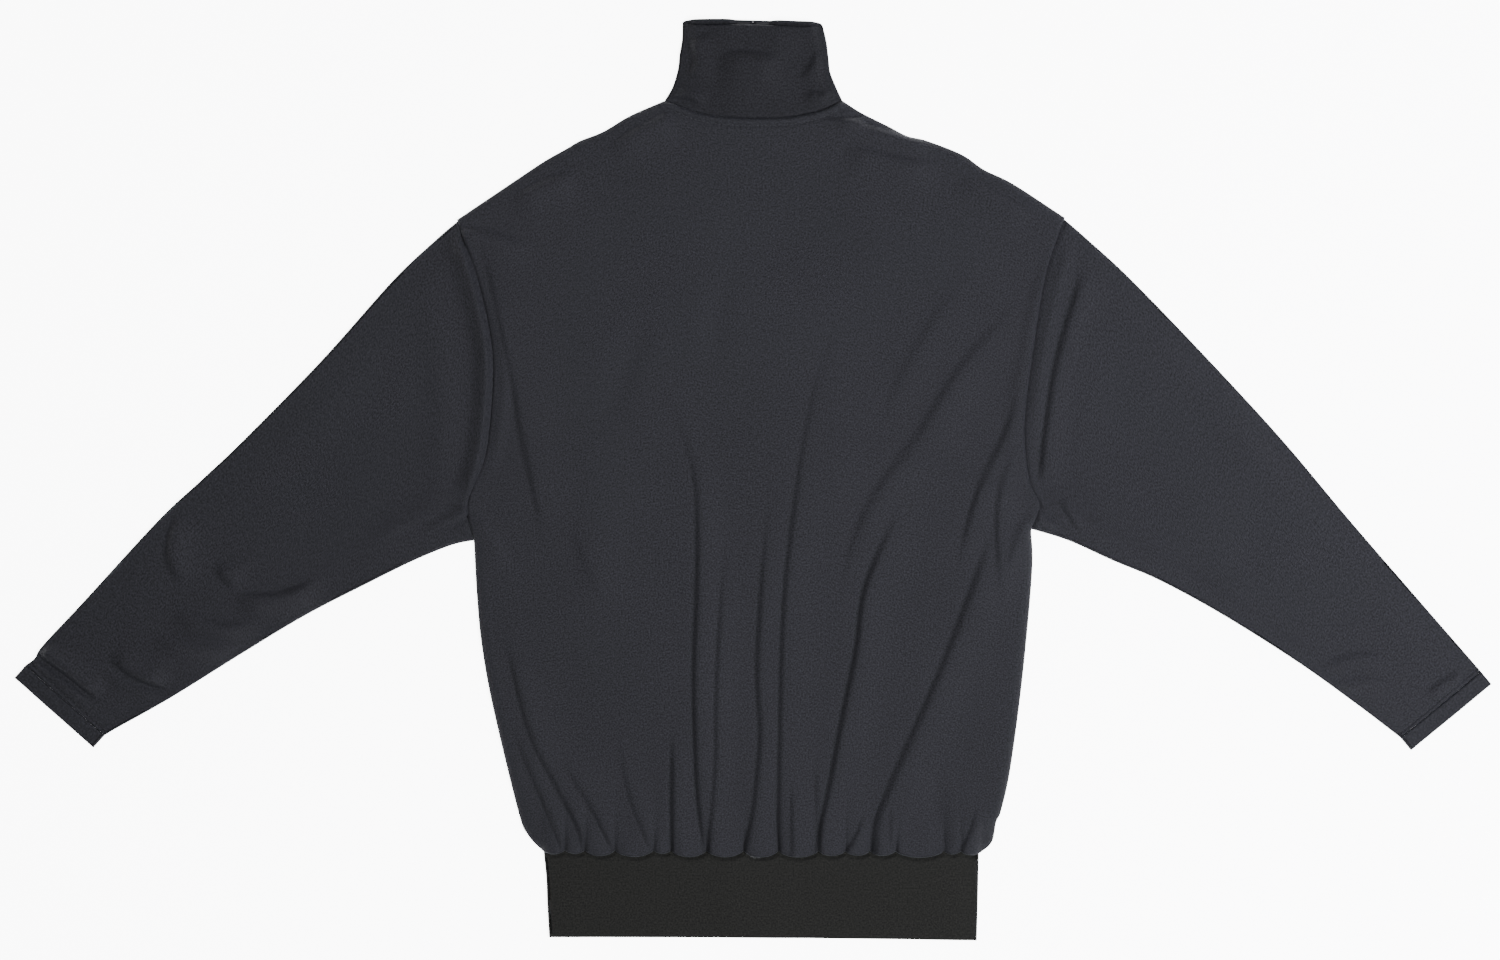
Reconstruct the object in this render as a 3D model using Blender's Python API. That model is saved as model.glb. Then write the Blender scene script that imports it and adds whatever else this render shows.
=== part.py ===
"""Track jacket laid flat on its front, back up, collar up and sleeves spread.

The frame: +X is to the right when looking down on the jacket, +Y runs up to the
collar, +Z is up and z = 0 is the surface that the fronts lie on. The origin is under
the middle of the jacket's box. The wearer's left is at -X. Lengths below are in
millimetres; mm() turns them into metres.
"""

from math import cos, pi, sin

import bmesh
import bpy
from mathutils import Matrix, Vector

# --- driving dimensions, mm ------------------------------------------------------

CLOTH = 1.2            # jersey wall of the panels and sleeves
BAND = 1.8             # doubled cloth of collar, cuffs and waistband
SEAM_GAP = 0.4         # space left between two pieces sewn together
LAYER_GAP = 0.3        # space left between pieces that lie on each other
BODY_TOP = 4.8         # upper face of the back over most of the body
NOSE = 3.3             # height of a sleeve's folded long edge
BAND_NOSE = 4.05       # height of a folded edge of collar, cuffs and waistband
SLEEVE_TOP = 6.0       # upper face along the middle of a sleeve

NECK_LEFT = (-84.0, 360.0)
NECK_RIGHT = (85.0, 360.0)
TIP_LEFT = (-281.0, 247.0)        # where shoulder seam and armhole meet
TIP_RIGHT = (296.0, 249.0)
PIT_LEFT = (-265.0, -57.0)
PIT_RIGHT = (264.0, -46.0)
WAIST_Y = -354.0
WAIST_LEFT = (-200.0, WAIST_Y)
WAIST_RIGHT = (216.0, WAIST_Y)

BACK_NECK = (NECK_LEFT, (-45.0, 348.5), (0.0, 343.5), (46.0, 348.0), NECK_RIGHT)
SHOULDER_LEFT = (TIP_LEFT, (-226.0, 284.0), (-164.0, 322.0), (-117.0, 345.5), NECK_LEFT)
SHOULDER_RIGHT = (NECK_RIGHT, (128.0, 336.0), (165.0, 322.0), (198.0, 309.0),
                  (247.0, 281.0), TIP_RIGHT)
ARMHOLE_LEFT = (TIP_LEFT, (-261.0, 188.0), (-249.0, 135.0), (-247.0, 90.0),
                (-254.0, 25.0), (-271.0, -22.0), PIT_LEFT)
ARMHOLE_RIGHT = (TIP_RIGHT, (278.0, 196.0), (266.0, 124.0), (257.5, 52.0),
                 (262.0, 0.0), (272.0, -24.0), PIT_RIGHT)
SIDE_LEFT = (PIT_LEFT, (-262.0, -111.0), (-247.0, -215.0), (-223.0, -314.0),
             (-213.5, -337.0), WAIST_LEFT)
SIDE_RIGHT = (PIT_RIGHT, (265.0, -87.0), (256.0, -186.0), (244.5, -273.0),
              (232.0, -324.0), (226.0, -346.0), WAIST_RIGHT)

# The fronts' own neck edge lies lower than the back's; the zip parts them.
FRONT_EDGE = 4.8                  # from the centre line to each front's edge
FRONT_NECK_Y = 322.0
FRONT_NECK_LEFT = (NECK_LEFT, (-66.0, 340.0), (-38.0, 326.0), (-FRONT_EDGE, FRONT_NECK_Y))
FRONT_NECK_RIGHT = ((FRONT_EDGE, FRONT_NECK_Y), (38.0, 326.0), (67.0, 340.0), NECK_RIGHT)

OUTER_LEFT = (TIP_LEFT, (-303.0, 228.0), (-343.0, 190.0), (-410.5, 114.0), (-484.5, 38.0),
              (-565.0, -38.0), (-634.5, -114.0), (-690.6, -175.8))
UNDER_LEFT = (PIT_LEFT, (-288.0, -62.0), (-366.0, -97.5), (-425.0, -128.0),
              (-483.0, -163.0), (-552.5, -206.5), (-615.6, -242.5))
OUTER_RIGHT = (TIP_RIGHT, (320.0, 228.0), (361.0, 190.0), (434.0, 114.0), (503.5, 38.0),
               (567.0, -38.0), (632.5, -114.0), (691.0, -181.5))
UNDER_RIGHT = (PIT_RIGHT, (301.0, -57.5), (343.0, -76.5), (388.5, -96.0), (448.5, -129.0),
               (518.5, -173.5), (574.0, -213.5), (614.5, -244.5))
CUFF_EDGE_LEFT = ((-701.0, -187.5), (-626.0, -254.0))
CUFF_EDGE_RIGHT = ((701.0, -193.5), (624.5, -256.5))

COLLAR_TOP_LEFT = (-67.5, 432.0)
COLLAR_TOP_RIGHT = (67.0, 430.5)
BACK_COLLAR_TOP = (COLLAR_TOP_LEFT, (-34.0, 431.0), (0.0, 430.0), (34.0, 430.0),
                   COLLAR_TOP_RIGHT)
FRONT_COLLAR_TOP_LEFT = (COLLAR_TOP_LEFT, (-56.0, 436.0), (-36.0, 437.0),
                         (-FRONT_EDGE, 436.0))
FRONT_COLLAR_TOP_RIGHT = ((FRONT_EDGE, 436.0), (36.0, 435.5), (57.0, 434.0),
                          COLLAR_TOP_RIGHT)
COLLAR_SIDE_LEFT = (NECK_LEFT, (-76.0, 381.0), (-70.5, 400.0), COLLAR_TOP_LEFT)
COLLAR_SIDE_RIGHT = (NECK_RIGHT, (79.0, 379.0), (73.0, 394.0), COLLAR_TOP_RIGHT)

HEM_LEFT = (-193.5, -434.0)
HEM_RIGHT = (212.5, -437.0)
HEM_FRONT_Y = -434.5              # lower edge of the band at the zip

# --- how finely each piece is divided -----------------------------------------------

ARMHOLE_STEPS = 10
SIDE_STEPS = 12
SHOULDER_STEPS = 10
NECK_STEPS = 10
FRONT_NECK_STEPS = 5
BAND_FRONT_STEPS = 3
BAND_ROWS = 3
COLLAR_ROWS = 6
SLEEVE_STATIONS = (0.0, 0.018, 0.04, 0.09, 0.18, 0.27, 0.36, 0.45, 0.54, 0.63, 0.72,
                   0.81, 0.9, 1.0)

# --- folds of the back: height, half width, and a path from its top to the waist ------

FOLDS = (
    (1.6, 13.0, ((-40.0, 10.0), (-44.0, -186.0), (-41.0, WAIST_Y))),
    (1.0, 12.0, ((34.0, -20.0), (27.0, -200.0), (26.0, WAIST_Y))),
    (1.6, 16.0, ((143.0, -30.0), (106.0, -170.0), (72.0, WAIST_Y))),
    (1.6, 16.0, ((224.0, -60.0), (190.0, -160.0), (120.0, WAIST_Y))),
    (1.4, 16.0, ((-232.0, -150.0), (-204.0, -270.0), (-163.0, WAIST_Y))),
)
FOLD_FADE = 110.0                 # length over which a fold rises from nothing
GATHER = 0.9                      # rise of the gathers at the waist seam
GATHER_REACH = 90.0
EDGE_SLOPE = 28.0                 # width over which the back sinks to a seam
ZIP_STEP = 0.7                    # extra height over the zip where it lies on a band
ZIP_STEP_NECK = (45.0, 15.0)      # that step begins and ends this far below the neck
ZIP_STEP_WAIST = (20.0, 50.0)     # and this far above the waist seam
COLLAR_STEP = 0.8                 # extra height where the back lies on the collar's ends
COLLAR_STEP_START = 25.0
COLLAR_STEP_REACH = 70.0

# --- sleeves and bands ------------------------------------------------------------------

SLEEVE_ROLL = 1.3                 # roll of cloth beside the armhole seam
SLEEVE_ROLL_PLACE = (0.018, 0.04)  # shares of the length where it peaks and ends
SLEEVE_PUFF = (0.2, 0.75)         # shares of the length where the puff is full and fades
ROUNDNESS = 0.6                   # power of the curve from a folded edge to the middle
SLEEVE_EDGE_STEPS = 24
BAND_INSET = 1.0                  # how much narrower the waistband is at its seam, a side

# --- zip --------------------------------------------------------------------------------

TAPE_INNER = 3.1
TAPE_OUTER = 15.0
TAPE = 0.7
CHAIN_HALF = 2.8
CHAIN = 2.3
ZIP_BOX = (5.6, 9.0, 2.5)         # retainer at the hem: width, length, height
ZIP_BOX_BEVEL = 0.4
ZIP_END = 3.0                     # from the hem to the lower end of the tapes
TAPE_SHORT = 2.0                  # from the upper end of the tapes to the collar's edge
ZIP_BOX_Y = -426.0
COLLAR_LIFT = 2.65                # how far the slider lifts the front of the collar
LIFT_PLATEAU = 18.0
LIFT_REACH = 50.0
LIFT_START_Y = 350.0
LIFT_FULL_Y = 388.0
SLIDER_RISE = 1.35                # more room over the slider than over the chain
SLIDER_RISE_START_Y = 390.0
SLIDER_RISE_FULL_Y = 412.0
CHAIN_ROOM = 2.1                  # from the collar's front layer to its back layer
CHAIN_CLEAR = 0.3                 # more room still, so that no facet touches
SLIDER_TOP_Y = 431.0
SLIDER_LENGTH = 11.0
SLIDER_HALF = 4.2
SLIDER_PLATE = 1.0
SLIDER_POST = 2.6                 # length of the post between the plates
SLIDER_POST_HALF = 2.6
CHAIN_END_Y = SLIDER_TOP_Y - SLIDER_POST - LAYER_GAP
BRIDGE_HALF = 0.8
BRIDGE_LENGTH = 8.0
BRIDGE_BAR = 0.7
BRIDGE_Z = 0.35
BRIDGE_LEG = 1.2
PULL_Y = 427.0                    # the pull's hinge
PULL_Z = 1.75
PULL_PIN = 0.5
PULL_PLATE = 1.2
PULL_HALF = 3.4
PULL_LENGTH = 28.0
PULL_SLOT_HALF = 1.2
PULL_SLOT_LENGTH = 5.5
PULL_CORNER = 2.6                 # radius of the pull's rounded end
PULL_TAPER = 0.8                  # width at that end, as a share of the full width
PIN_INSET = 0.2                   # from the pull's side to the end of the pin


def mm(x, y, z=0.0):
    """A point given in millimetres, in metres."""
    return Vector((x, y, z)) * 0.001


def blend(low, high, value):
    """Smooth step of value from low to high, 0 before and 1 after."""
    part = min(max((value - low) / (high - low), 0.0), 1.0)
    return part * part * (3.0 - 2.0 * part)


class Line:
    """A row of plan points, read at any fraction of its steps."""

    def __init__(self, points):
        self.points = [Vector(point) for point in points]

    @classmethod
    def through(cls, knots, steps):
        """Even steps along a smooth curve through the knots."""
        knots = [Vector(knot) for knot in knots]
        if len(knots) == 2:
            return cls([knots[0].lerp(knots[1], i / steps) for i in range(steps + 1)])
        fine = []
        padded = [knots[0] * 2 - knots[1]] + knots + [knots[-1] * 2 - knots[-2]]
        for before, start, end, after in zip(padded, padded[1:], padded[2:], padded[3:]):
            for k in range(24):
                t = k / 24
                fine.append(0.5 * (2 * start + (end - before) * t
                                   + (2 * before - 5 * start + 4 * end - after) * t ** 2
                                   + (3 * start - before - 3 * end + after) * t ** 3))
        fine.append(knots[-1])
        lengths = [0.0]
        for a, b in zip(fine, fine[1:]):
            lengths.append(lengths[-1] + (b - a).length)
        points = []
        k = 0
        for i in range(steps + 1):
            goal = lengths[-1] * i / steps
            while k < len(fine) - 2 and lengths[k + 1] < goal:
                k += 1
            part = (goal - lengths[k]) / (lengths[k + 1] - lengths[k])
            points.append(fine[k].lerp(fine[k + 1], part))
        points[-1] = knots[-1]
        return cls(points)

    def __add__(self, other):
        return Line(self.points + other.points[1:])

    def reversed(self):
        """The same line from its other end."""
        return Line(self.points[::-1])

    def shifted(self, x, y):
        """The line moved sideways."""
        return Line([point + Vector((x, y)) for point in self.points])

    def at(self, t):
        """The point at fraction t of the line's steps."""
        place = min(max(t, 0.0), 1.0) * (len(self.points) - 1)
        k = min(int(place), len(self.points) - 2)
        return self.points[k].lerp(self.points[k + 1], place - k)

    def distance(self, point):
        """Distance from a plan point to the line."""
        best = 1e9
        for a, b in zip(self.points, self.points[1:]):
            along = b - a
            t = min(max((point - a).dot(along) / along.length_squared, 0.0), 1.0)
            best = min(best, (point - a - along * t).length)
        return best

    def x_at(self, y):
        """x where a line that runs down crosses the height y."""
        for a, b in zip(self.points, self.points[1:]):
            if b.y <= y <= a.y:
                return a.x + (b.x - a.x) * (a.y - y) / (a.y - b.y)
        return self.points[-1].x


class Patch:
    """Plan surface stretched between four lines, read at (u, v)."""

    def __init__(self, bottom, top, left, right):
        self.bottom, self.top, self.left, self.right = bottom, top, left, right

    def at(self, u, v):
        """The plan point at fraction u across and v up."""
        corners = (self.bottom.at(0) * (1 - u) * (1 - v) + self.bottom.at(1) * u * (1 - v)
                   + self.top.at(0) * (1 - u) * v + self.top.at(1) * u * v)
        across = self.left.at(v) * (1 - u) + self.right.at(v) * u
        along = self.bottom.at(u) * (1 - v) + self.top.at(u) * v
        return across + along - corners

    def width(self, v):
        """The straight distance between the two sides at height v."""
        return (self.right.at(v) - self.left.at(v)).length


class Seams:
    """The sewing lines that neighbouring pieces share."""

    neck = Line.through(BACK_NECK, NECK_STEPS)
    shoulder_left = Line.through(SHOULDER_LEFT, SHOULDER_STEPS)
    shoulder_right = Line.through(SHOULDER_RIGHT, SHOULDER_STEPS)
    armhole_left = Line.through(ARMHOLE_LEFT, ARMHOLE_STEPS)
    armhole_right = Line.through(ARMHOLE_RIGHT, ARMHOLE_STEPS)
    side_left = Line.through(SIDE_LEFT, SIDE_STEPS)
    side_right = Line.through(SIDE_RIGHT, SIDE_STEPS)
    waist = Line.through((WAIST_LEFT, WAIST_RIGHT), SHOULDER_STEPS * 2 + NECK_STEPS)
    front_neck_left = Line.through(FRONT_NECK_LEFT, FRONT_NECK_STEPS)
    front_neck_right = Line.through(FRONT_NECK_RIGHT, FRONT_NECK_STEPS)


MATERIALS = {
    "jersey": ((0.032, 0.034, 0.040, 1.0), 0.82, 0.0),
    "band_knit": ((0.026, 0.025, 0.023, 1.0), 0.78, 0.0),
    "zip_tape": ((0.018, 0.018, 0.020, 1.0), 0.85, 0.0),
    "zip_teeth": ((0.012, 0.012, 0.013, 1.0), 0.4, 0.0),
    "zip_metal": ((0.30, 0.30, 0.31, 1.0), 0.35, 1.0),
}


def material(name):
    """The Principled material of that name, made once."""
    made = bpy.data.materials.get(name)
    if made is None:
        colour, roughness, metallic = MATERIALS[name]
        made = bpy.data.materials.new(name)
        made.use_nodes = True
        shader = made.node_tree.nodes["Principled BSDF"]
        shader.inputs["Base Color"].default_value = colour
        shader.inputs["Roughness"].default_value = roughness
        shader.inputs["Metallic"].default_value = metallic
    return made


def add_object(name, bm, material_name, smooth=True):
    """Turn a bmesh into a named object with its material."""
    bmesh.ops.recalc_face_normals(bm, faces=bm.faces)
    mesh = bpy.data.meshes.new(name)
    bm.to_mesh(mesh)
    bm.free()
    if smooth:
        mesh.shade_smooth()
        mesh.set_sharp_from_angle(angle=pi / 5)
    mesh.materials.append(material(material_name))
    thing = bpy.data.objects.new(name, mesh)
    bpy.context.scene.collection.objects.link(thing)
    return thing


def cloth_wall(name, columns, rows, outer, inner, material_name):
    """A wall of cloth between an outer and an inner face.

    Both faces are functions of the column and row numbers. A wall whose first and
    last columns meet becomes a tube.
    """
    bm = bmesh.new()
    bmesh.ops.create_grid(bm, x_segments=columns, y_segments=rows, size=1.0)
    column = bm.verts.layers.float.new("column")
    row = bm.verts.layers.float.new("row")
    for vert in bm.verts:
        vert[column] = round((vert.co.x + 1.0) / 2.0 * columns)
        vert[row] = round((vert.co.y + 1.0) / 2.0 * rows)
        vert.co = outer(int(vert[column]), int(vert[row]))
    bmesh.ops.remove_doubles(bm, verts=bm.verts, dist=1e-7)
    grown = bmesh.ops.extrude_face_region(bm, geom=bm.faces[:])
    for vert in grown["geom"]:
        if isinstance(vert, bmesh.types.BMVert):
            vert.co = inner(int(round(vert[column])), int(round(vert[row])))
    return add_object(name, bm, material_name)


# --- heights of the layers ----------------------------------------------------------------


def centre_share(x):
    """1 over the zip, falling to 0 at both sides."""
    return 1.0 - blend(LIFT_PLATEAU, LIFT_REACH, abs(x))


def lift(x, y):
    """How far the front of the collar is lifted off the surface."""
    return COLLAR_LIFT * centre_share(x) * blend(LIFT_START_Y, LIFT_FULL_Y, y)


def back_height(point, column, seams):
    """Upper face of the back at a plan point."""
    edge = min(seam.distance(point) for seam in seams)
    corner = min((point - Vector(neck)).length for neck in (NECK_LEFT, NECK_RIGHT))
    height = CLOTH + LAYER_GAP + CLOTH
    height += COLLAR_STEP * (1.0 - blend(COLLAR_STEP_START, COLLAR_STEP_REACH, corner))
    height += (BODY_TOP - height) * blend(0.0, EDGE_SLOPE, edge)
    inside = blend(0.0, EDGE_SLOPE, edge)
    for rise, half_width, path in FOLDS:
        line = Line(path)
        away = (point.x - line.x_at(point.y)) / half_width
        grown = blend(0.0, FOLD_FADE, path[0][1] - point.y)
        height += rise * grown * inside * max(0.0, 1.0 - away * away)
    gather = GATHER * (1.0 - blend(0.0, GATHER_REACH, point.y - WAIST_Y))
    height += gather * inside * (column % 2)
    below, above = ZIP_STEP_NECK
    on_band = blend(FRONT_NECK_Y - below, FRONT_NECK_Y - above, point.y)
    below, above = ZIP_STEP_WAIST
    on_band += 1.0 - blend(WAIST_Y + below, WAIST_Y + above, point.y)
    return height + ZIP_STEP * centre_share(point.x) * on_band


def collar_room(x, y):
    """Space between the two layers of the collar."""
    room = BAND_NOSE - 2 * BAND
    room += (CHAIN_ROOM + CHAIN_CLEAR - room) * centre_share(x)
    rise = blend(SLIDER_RISE_START_Y, SLIDER_RISE_FULL_Y, y)
    return room + SLIDER_RISE * centre_share(x) * rise


# --- panels -----------------------------------------------------------------------------------


def build_back():
    """The back: neck and shoulders above, waist seam below, armholes at the sides."""
    left = (Seams.armhole_left + Seams.side_left).reversed()
    right = (Seams.armhole_right + Seams.side_right).reversed()
    top = Seams.shoulder_left + Seams.neck + Seams.shoulder_right
    patch = Patch(Seams.waist, top, left, right)
    columns = SHOULDER_STEPS * 2 + NECK_STEPS
    rows = ARMHOLE_STEPS + SIDE_STEPS
    sinking = (Seams.shoulder_left, Seams.shoulder_right, Seams.side_left, Seams.side_right)

    def outer(column, row):
        point = patch.at(column / columns, row / rows)
        return mm(point.x, point.y, back_height(point, column, sinking))

    def inner(column, row):
        return outer(column, row) - mm(0, 0, CLOTH)

    cloth_wall("back", columns, rows, outer, inner, "jersey")


def flat_panel(name, outline, low, high, material_name):
    """A flat piece of even thickness with the outline given."""
    bm = bmesh.new()
    face = bm.faces.new([bm.verts.new(mm(p.x, p.y, low)) for p in outline])
    grown = bmesh.ops.extrude_face_region(bm, geom=[face])
    verts = [v for v in grown["geom"] if isinstance(v, bmesh.types.BMVert)]
    bmesh.ops.translate(bm, verts=verts, vec=mm(0, 0, high - low))
    return add_object(name, bm, material_name, smooth=False)


def build_fronts():
    """The two fronts, flat on the surface and parted by the zip."""
    left = (Seams.side_left.reversed() + Seams.armhole_left.reversed()
            + Seams.shoulder_left + Seams.front_neck_left)
    corner = Vector((-FRONT_EDGE, WAIST_Y))
    flat_panel("front_left", left.points + [corner], 0.0, CLOTH, "jersey")
    right = (Seams.side_right.reversed() + Seams.armhole_right.reversed()
             + Seams.shoulder_right.reversed() + Seams.front_neck_right.reversed())
    corner = Vector((FRONT_EDGE, WAIST_Y))
    flat_panel("front_right", right.points + [corner], 0.0, CLOTH, "jersey")


# --- flattened rings --------------------------------------------------------------------------

NOSE_ANGLES = (-90.0, -45.0, 0.0, 45.0, 90.0)


def nose_point(angle, height, wall, outer):
    """Inset and height of a point on a folded edge, from below to above."""
    radius = height / 2.0
    reach = radius if outer else radius - wall
    turn = angle * pi / 180.0
    return radius - reach * cos(turn), radius + reach * sin(turn)


def build_tube(name, patch, stations, wall, nose, top, material_name):
    """A flattened tube: an upper and a lower layer joined by two folded edges.

    u of the patch runs along the tube, v across it; top(s, t) is the upper face.
    """
    middle = [k / ARMHOLE_STEPS for k in range(1, ARMHOLE_STEPS)]
    ring = [("first", angle) for angle in NOSE_ANGLES]
    ring += [("upper", t) for t in middle]
    ring += [("last", angle) for angle in reversed(NOSE_ANGLES)]
    ring += [("lower", t) for t in reversed(middle)]

    def place(column, row, is_outer):
        kind, value = ring[column % len(ring)]
        s = stations[row]
        width = (patch.top.at(s) - patch.bottom.at(s)).length
        step = 0.0 if is_outer else wall
        if kind == "upper":
            t, z = value, top(s, value) - step
        elif kind == "lower":
            t, z = value, step
        else:
            inset, z = nose_point(value, nose, wall, is_outer)
            t = inset / width if kind == "first" else 1.0 - inset / width
        point = patch.at(s, t)
        return mm(point.x, point.y, z)

    cloth_wall(name, len(ring), len(stations) - 1,
               lambda column, row: place(column, row, True),
               lambda column, row: place(column, row, False), material_name)


def sleeve_height(s, t):
    """Upper face of a sleeve: a roll beside the armhole, then a soft puff."""
    rounded = sin(pi * t) ** ROUNDNESS
    start = BODY_TOP - NOSE
    peak, end = SLEEVE_ROLL_PLACE
    full, fade = SLEEVE_PUFF
    roll = SLEEVE_ROLL * blend(0.0, peak, s) * (1.0 - blend(peak, end, s))
    puff = (SLEEVE_TOP - BODY_TOP) * blend(end, full, s) * (1.0 - blend(fade, 1.0, s))
    return NOSE + (start + roll + puff) * rounded


def cuff_height(s, t):
    """Upper face of a cuff."""
    return BAND_NOSE + (BODY_TOP - BAND_NOSE) * sin(pi * t) ** ROUNDNESS


def build_sleeve(side, armhole, outer_knots, under_knots, cuff_edge, shift):
    """One sleeve and its cuff."""
    start = armhole.shifted(shift, 0.0)
    outer = Line.through(outer_knots, SLEEVE_EDGE_STEPS)
    under = Line.through(under_knots, SLEEVE_EDGE_STEPS)
    outer.points[0] = start.points[0]
    under.points[0] = start.points[-1]
    end = Line.through((outer.points[-1], under.points[-1]), ARMHOLE_STEPS)
    # u runs along the sleeve, so its lines stand at the left and right of the patch
    patch = Patch(outer, under, start, end)
    build_tube(f"sleeve_{side}", patch, SLEEVE_STATIONS, CLOTH, NOSE, sleeve_height,
               "jersey")
    edge = Line.through(cuff_edge, ARMHOLE_STEPS)
    along = (edge.at(0.5) - end.at(0.5)).normalized() * SEAM_GAP
    seam = end.shifted(along.x, along.y)
    outer_side = Line([seam.points[0], edge.points[0]])
    under_side = Line([seam.points[-1], edge.points[-1]])
    patch = Patch(outer_side, under_side, seam, edge)
    build_tube(f"cuff_{side}", patch, (0.0, 1.0), BAND, BAND_NOSE, cuff_height,
               "band_knit")


def build_open_band(name, rows, upper, front_left, front_right, upper_steps, front_steps,
                    upper_height, front_base, material_name):
    """A flattened band that is open at the centre front.

    It starts at the zip's left edge, folds at the left side, crosses the back, folds
    at the right side and comes back to the zip. Each layer is a patch whose u runs
    from left to right and v from the band's lower edge to its upper edge.
    """
    ring = [("front_left", 1.0 - k / front_steps) for k in range(front_steps)]
    ring += [("nose_left", angle) for angle in NOSE_ANGLES]
    ring += [("upper", k / upper_steps) for k in range(1, upper_steps)]
    ring += [("nose_right", angle) for angle in reversed(NOSE_ANGLES)]
    ring += [("front_right", 1.0 - (k + 1) / front_steps) for k in range(front_steps)]
    patches = {"front_left": front_left, "front_right": front_right, "upper": upper}

    def place(column, row, is_outer):
        kind, value = ring[column]
        v = row / rows
        step = 0.0 if is_outer else BAND
        if kind == "upper":
            point = upper.at(value, v)
            return mm(point.x, point.y, upper_height(point) - step)
        if kind in patches:
            point = patches[kind].at(value, v)
            return mm(point.x, point.y, front_base(point) + step)
        inset, z = nose_point(value, BAND_NOSE, BAND, is_outer)
        above = value >= 0
        left = kind == "nose_left"
        patch = upper if above else patches["front_left" if left else "front_right"]
        t = inset / patch.width(v)
        point = patch.at(t if left else 1.0 - t, v)
        return mm(point.x, point.y, z)

    cloth_wall(name, len(ring) - 1, rows, lambda c, r: place(c, r, True),
               lambda c, r: place(c, r, False), material_name)


def build_collar():
    """The stand collar, from its neck seam up to its free edge."""
    side_left = Line.through(COLLAR_SIDE_LEFT, COLLAR_ROWS)
    side_right = Line.through(COLLAR_SIDE_RIGHT, COLLAR_ROWS)
    side_left.points[0] += Vector((0.0, SEAM_GAP))
    side_right.points[0] += Vector((0.0, SEAM_GAP))
    base = Seams.neck.shifted(0.0, SEAM_GAP)
    top = Line.through(BACK_COLLAR_TOP, NECK_STEPS)
    upper = Patch(base, top, side_left, side_right)
    steps = FRONT_NECK_STEPS
    base = Seams.front_neck_left.shifted(0.0, SEAM_GAP * 1.5)
    base.points[0] = side_left.points[0]
    top = Line.through(FRONT_COLLAR_TOP_LEFT, steps)
    centre = Line.through((base.points[-1], top.points[-1]), COLLAR_ROWS)
    front_left = Patch(base, top, side_left, centre)
    base = Seams.front_neck_right.shifted(0.0, SEAM_GAP * 1.5)
    base.points[-1] = side_right.points[0]
    top = Line.through(FRONT_COLLAR_TOP_RIGHT, steps)
    centre = Line.through((base.points[0], top.points[0]), COLLAR_ROWS)
    front_right = Patch(base, top, centre, side_right)

    def upper_height(point):
        return lift(point.x, point.y) + 2 * BAND + collar_room(point.x, point.y)

    def front_base(point):
        return lift(point.x, point.y)

    build_open_band("collar", COLLAR_ROWS, upper, front_left, front_right, NECK_STEPS,
                    steps, upper_height, front_base, "jersey")


def build_waistband():
    """The waistband, from its hem up to the waist seam."""
    steps = SHOULDER_STEPS * 2 + NECK_STEPS
    seam_y = WAIST_Y - SEAM_GAP
    left = Line.through((HEM_LEFT, (WAIST_LEFT[0] + BAND_INSET, seam_y)), BAND_ROWS)
    right = Line.through((HEM_RIGHT, (WAIST_RIGHT[0] - BAND_INSET, seam_y)), BAND_ROWS)
    hem = Line.through((HEM_LEFT, (0.0, HEM_FRONT_Y), HEM_RIGHT), steps)
    seam = Line.through((left.points[-1], right.points[-1]), steps)
    upper = Patch(hem, seam, left, right)
    centre = Line.through(((-FRONT_EDGE, HEM_FRONT_Y), (-FRONT_EDGE, seam_y)), BAND_ROWS)
    hem = Line.through((HEM_LEFT, centre.points[0]), BAND_FRONT_STEPS)
    seam = Line.through((left.points[-1], centre.points[-1]), BAND_FRONT_STEPS)
    front_left = Patch(hem, seam, left, centre)
    centre = Line.through(((FRONT_EDGE, HEM_FRONT_Y), (FRONT_EDGE, seam_y)), BAND_ROWS)
    hem = Line.through((centre.points[0], HEM_RIGHT), BAND_FRONT_STEPS)
    seam = Line.through((centre.points[-1], right.points[-1]), BAND_FRONT_STEPS)
    front_right = Patch(hem, seam, centre, right)

    def upper_height(point):
        room = BAND_NOSE - 2 * BAND
        room += (CHAIN_ROOM + CHAIN_CLEAR - room) * centre_share(point.x)
        return 2 * BAND + room

    build_open_band("waistband", BAND_ROWS, upper, front_left, front_right, steps,
                    BAND_FRONT_STEPS, upper_height, lambda point: 0.0, "band_knit")


# --- zip ------------------------------------------------------------------------------------------


def zip_stations():
    """Height along Y and underside of the tape at each bend of the zip."""
    on_band = BAND + LAYER_GAP
    on_panel = CLOTH + LAYER_GAP
    stations = [(HEM_FRONT_Y + ZIP_END, on_band), (WAIST_Y + 2.0, on_band),
                (WAIST_Y + 12.0, on_panel), (FRONT_NECK_Y - 12.0, on_panel),
                (FRONT_NECK_Y - 2.0, on_band)]
    start = FRONT_NECK_Y + SEAM_GAP * 1.5
    end = FRONT_COLLAR_TOP_LEFT[-1][1]
    for row in range(1, COLLAR_ROWS):
        y = start + (end - start) * row / COLLAR_ROWS
        stations.append((y, on_band + lift(0.0, y)))
    return stations


def build_strip(name, left, right, stations, low, high, material_name):
    """A long strip that follows the zip's stations between two heights."""
    def place(column, row, z):
        y, under = stations[row]
        return mm(right if column else left, y, under + z)

    cloth_wall(name, 1, len(stations) - 1, lambda c, r: place(c, r, high),
               lambda c, r: place(c, r, low), material_name)


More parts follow.
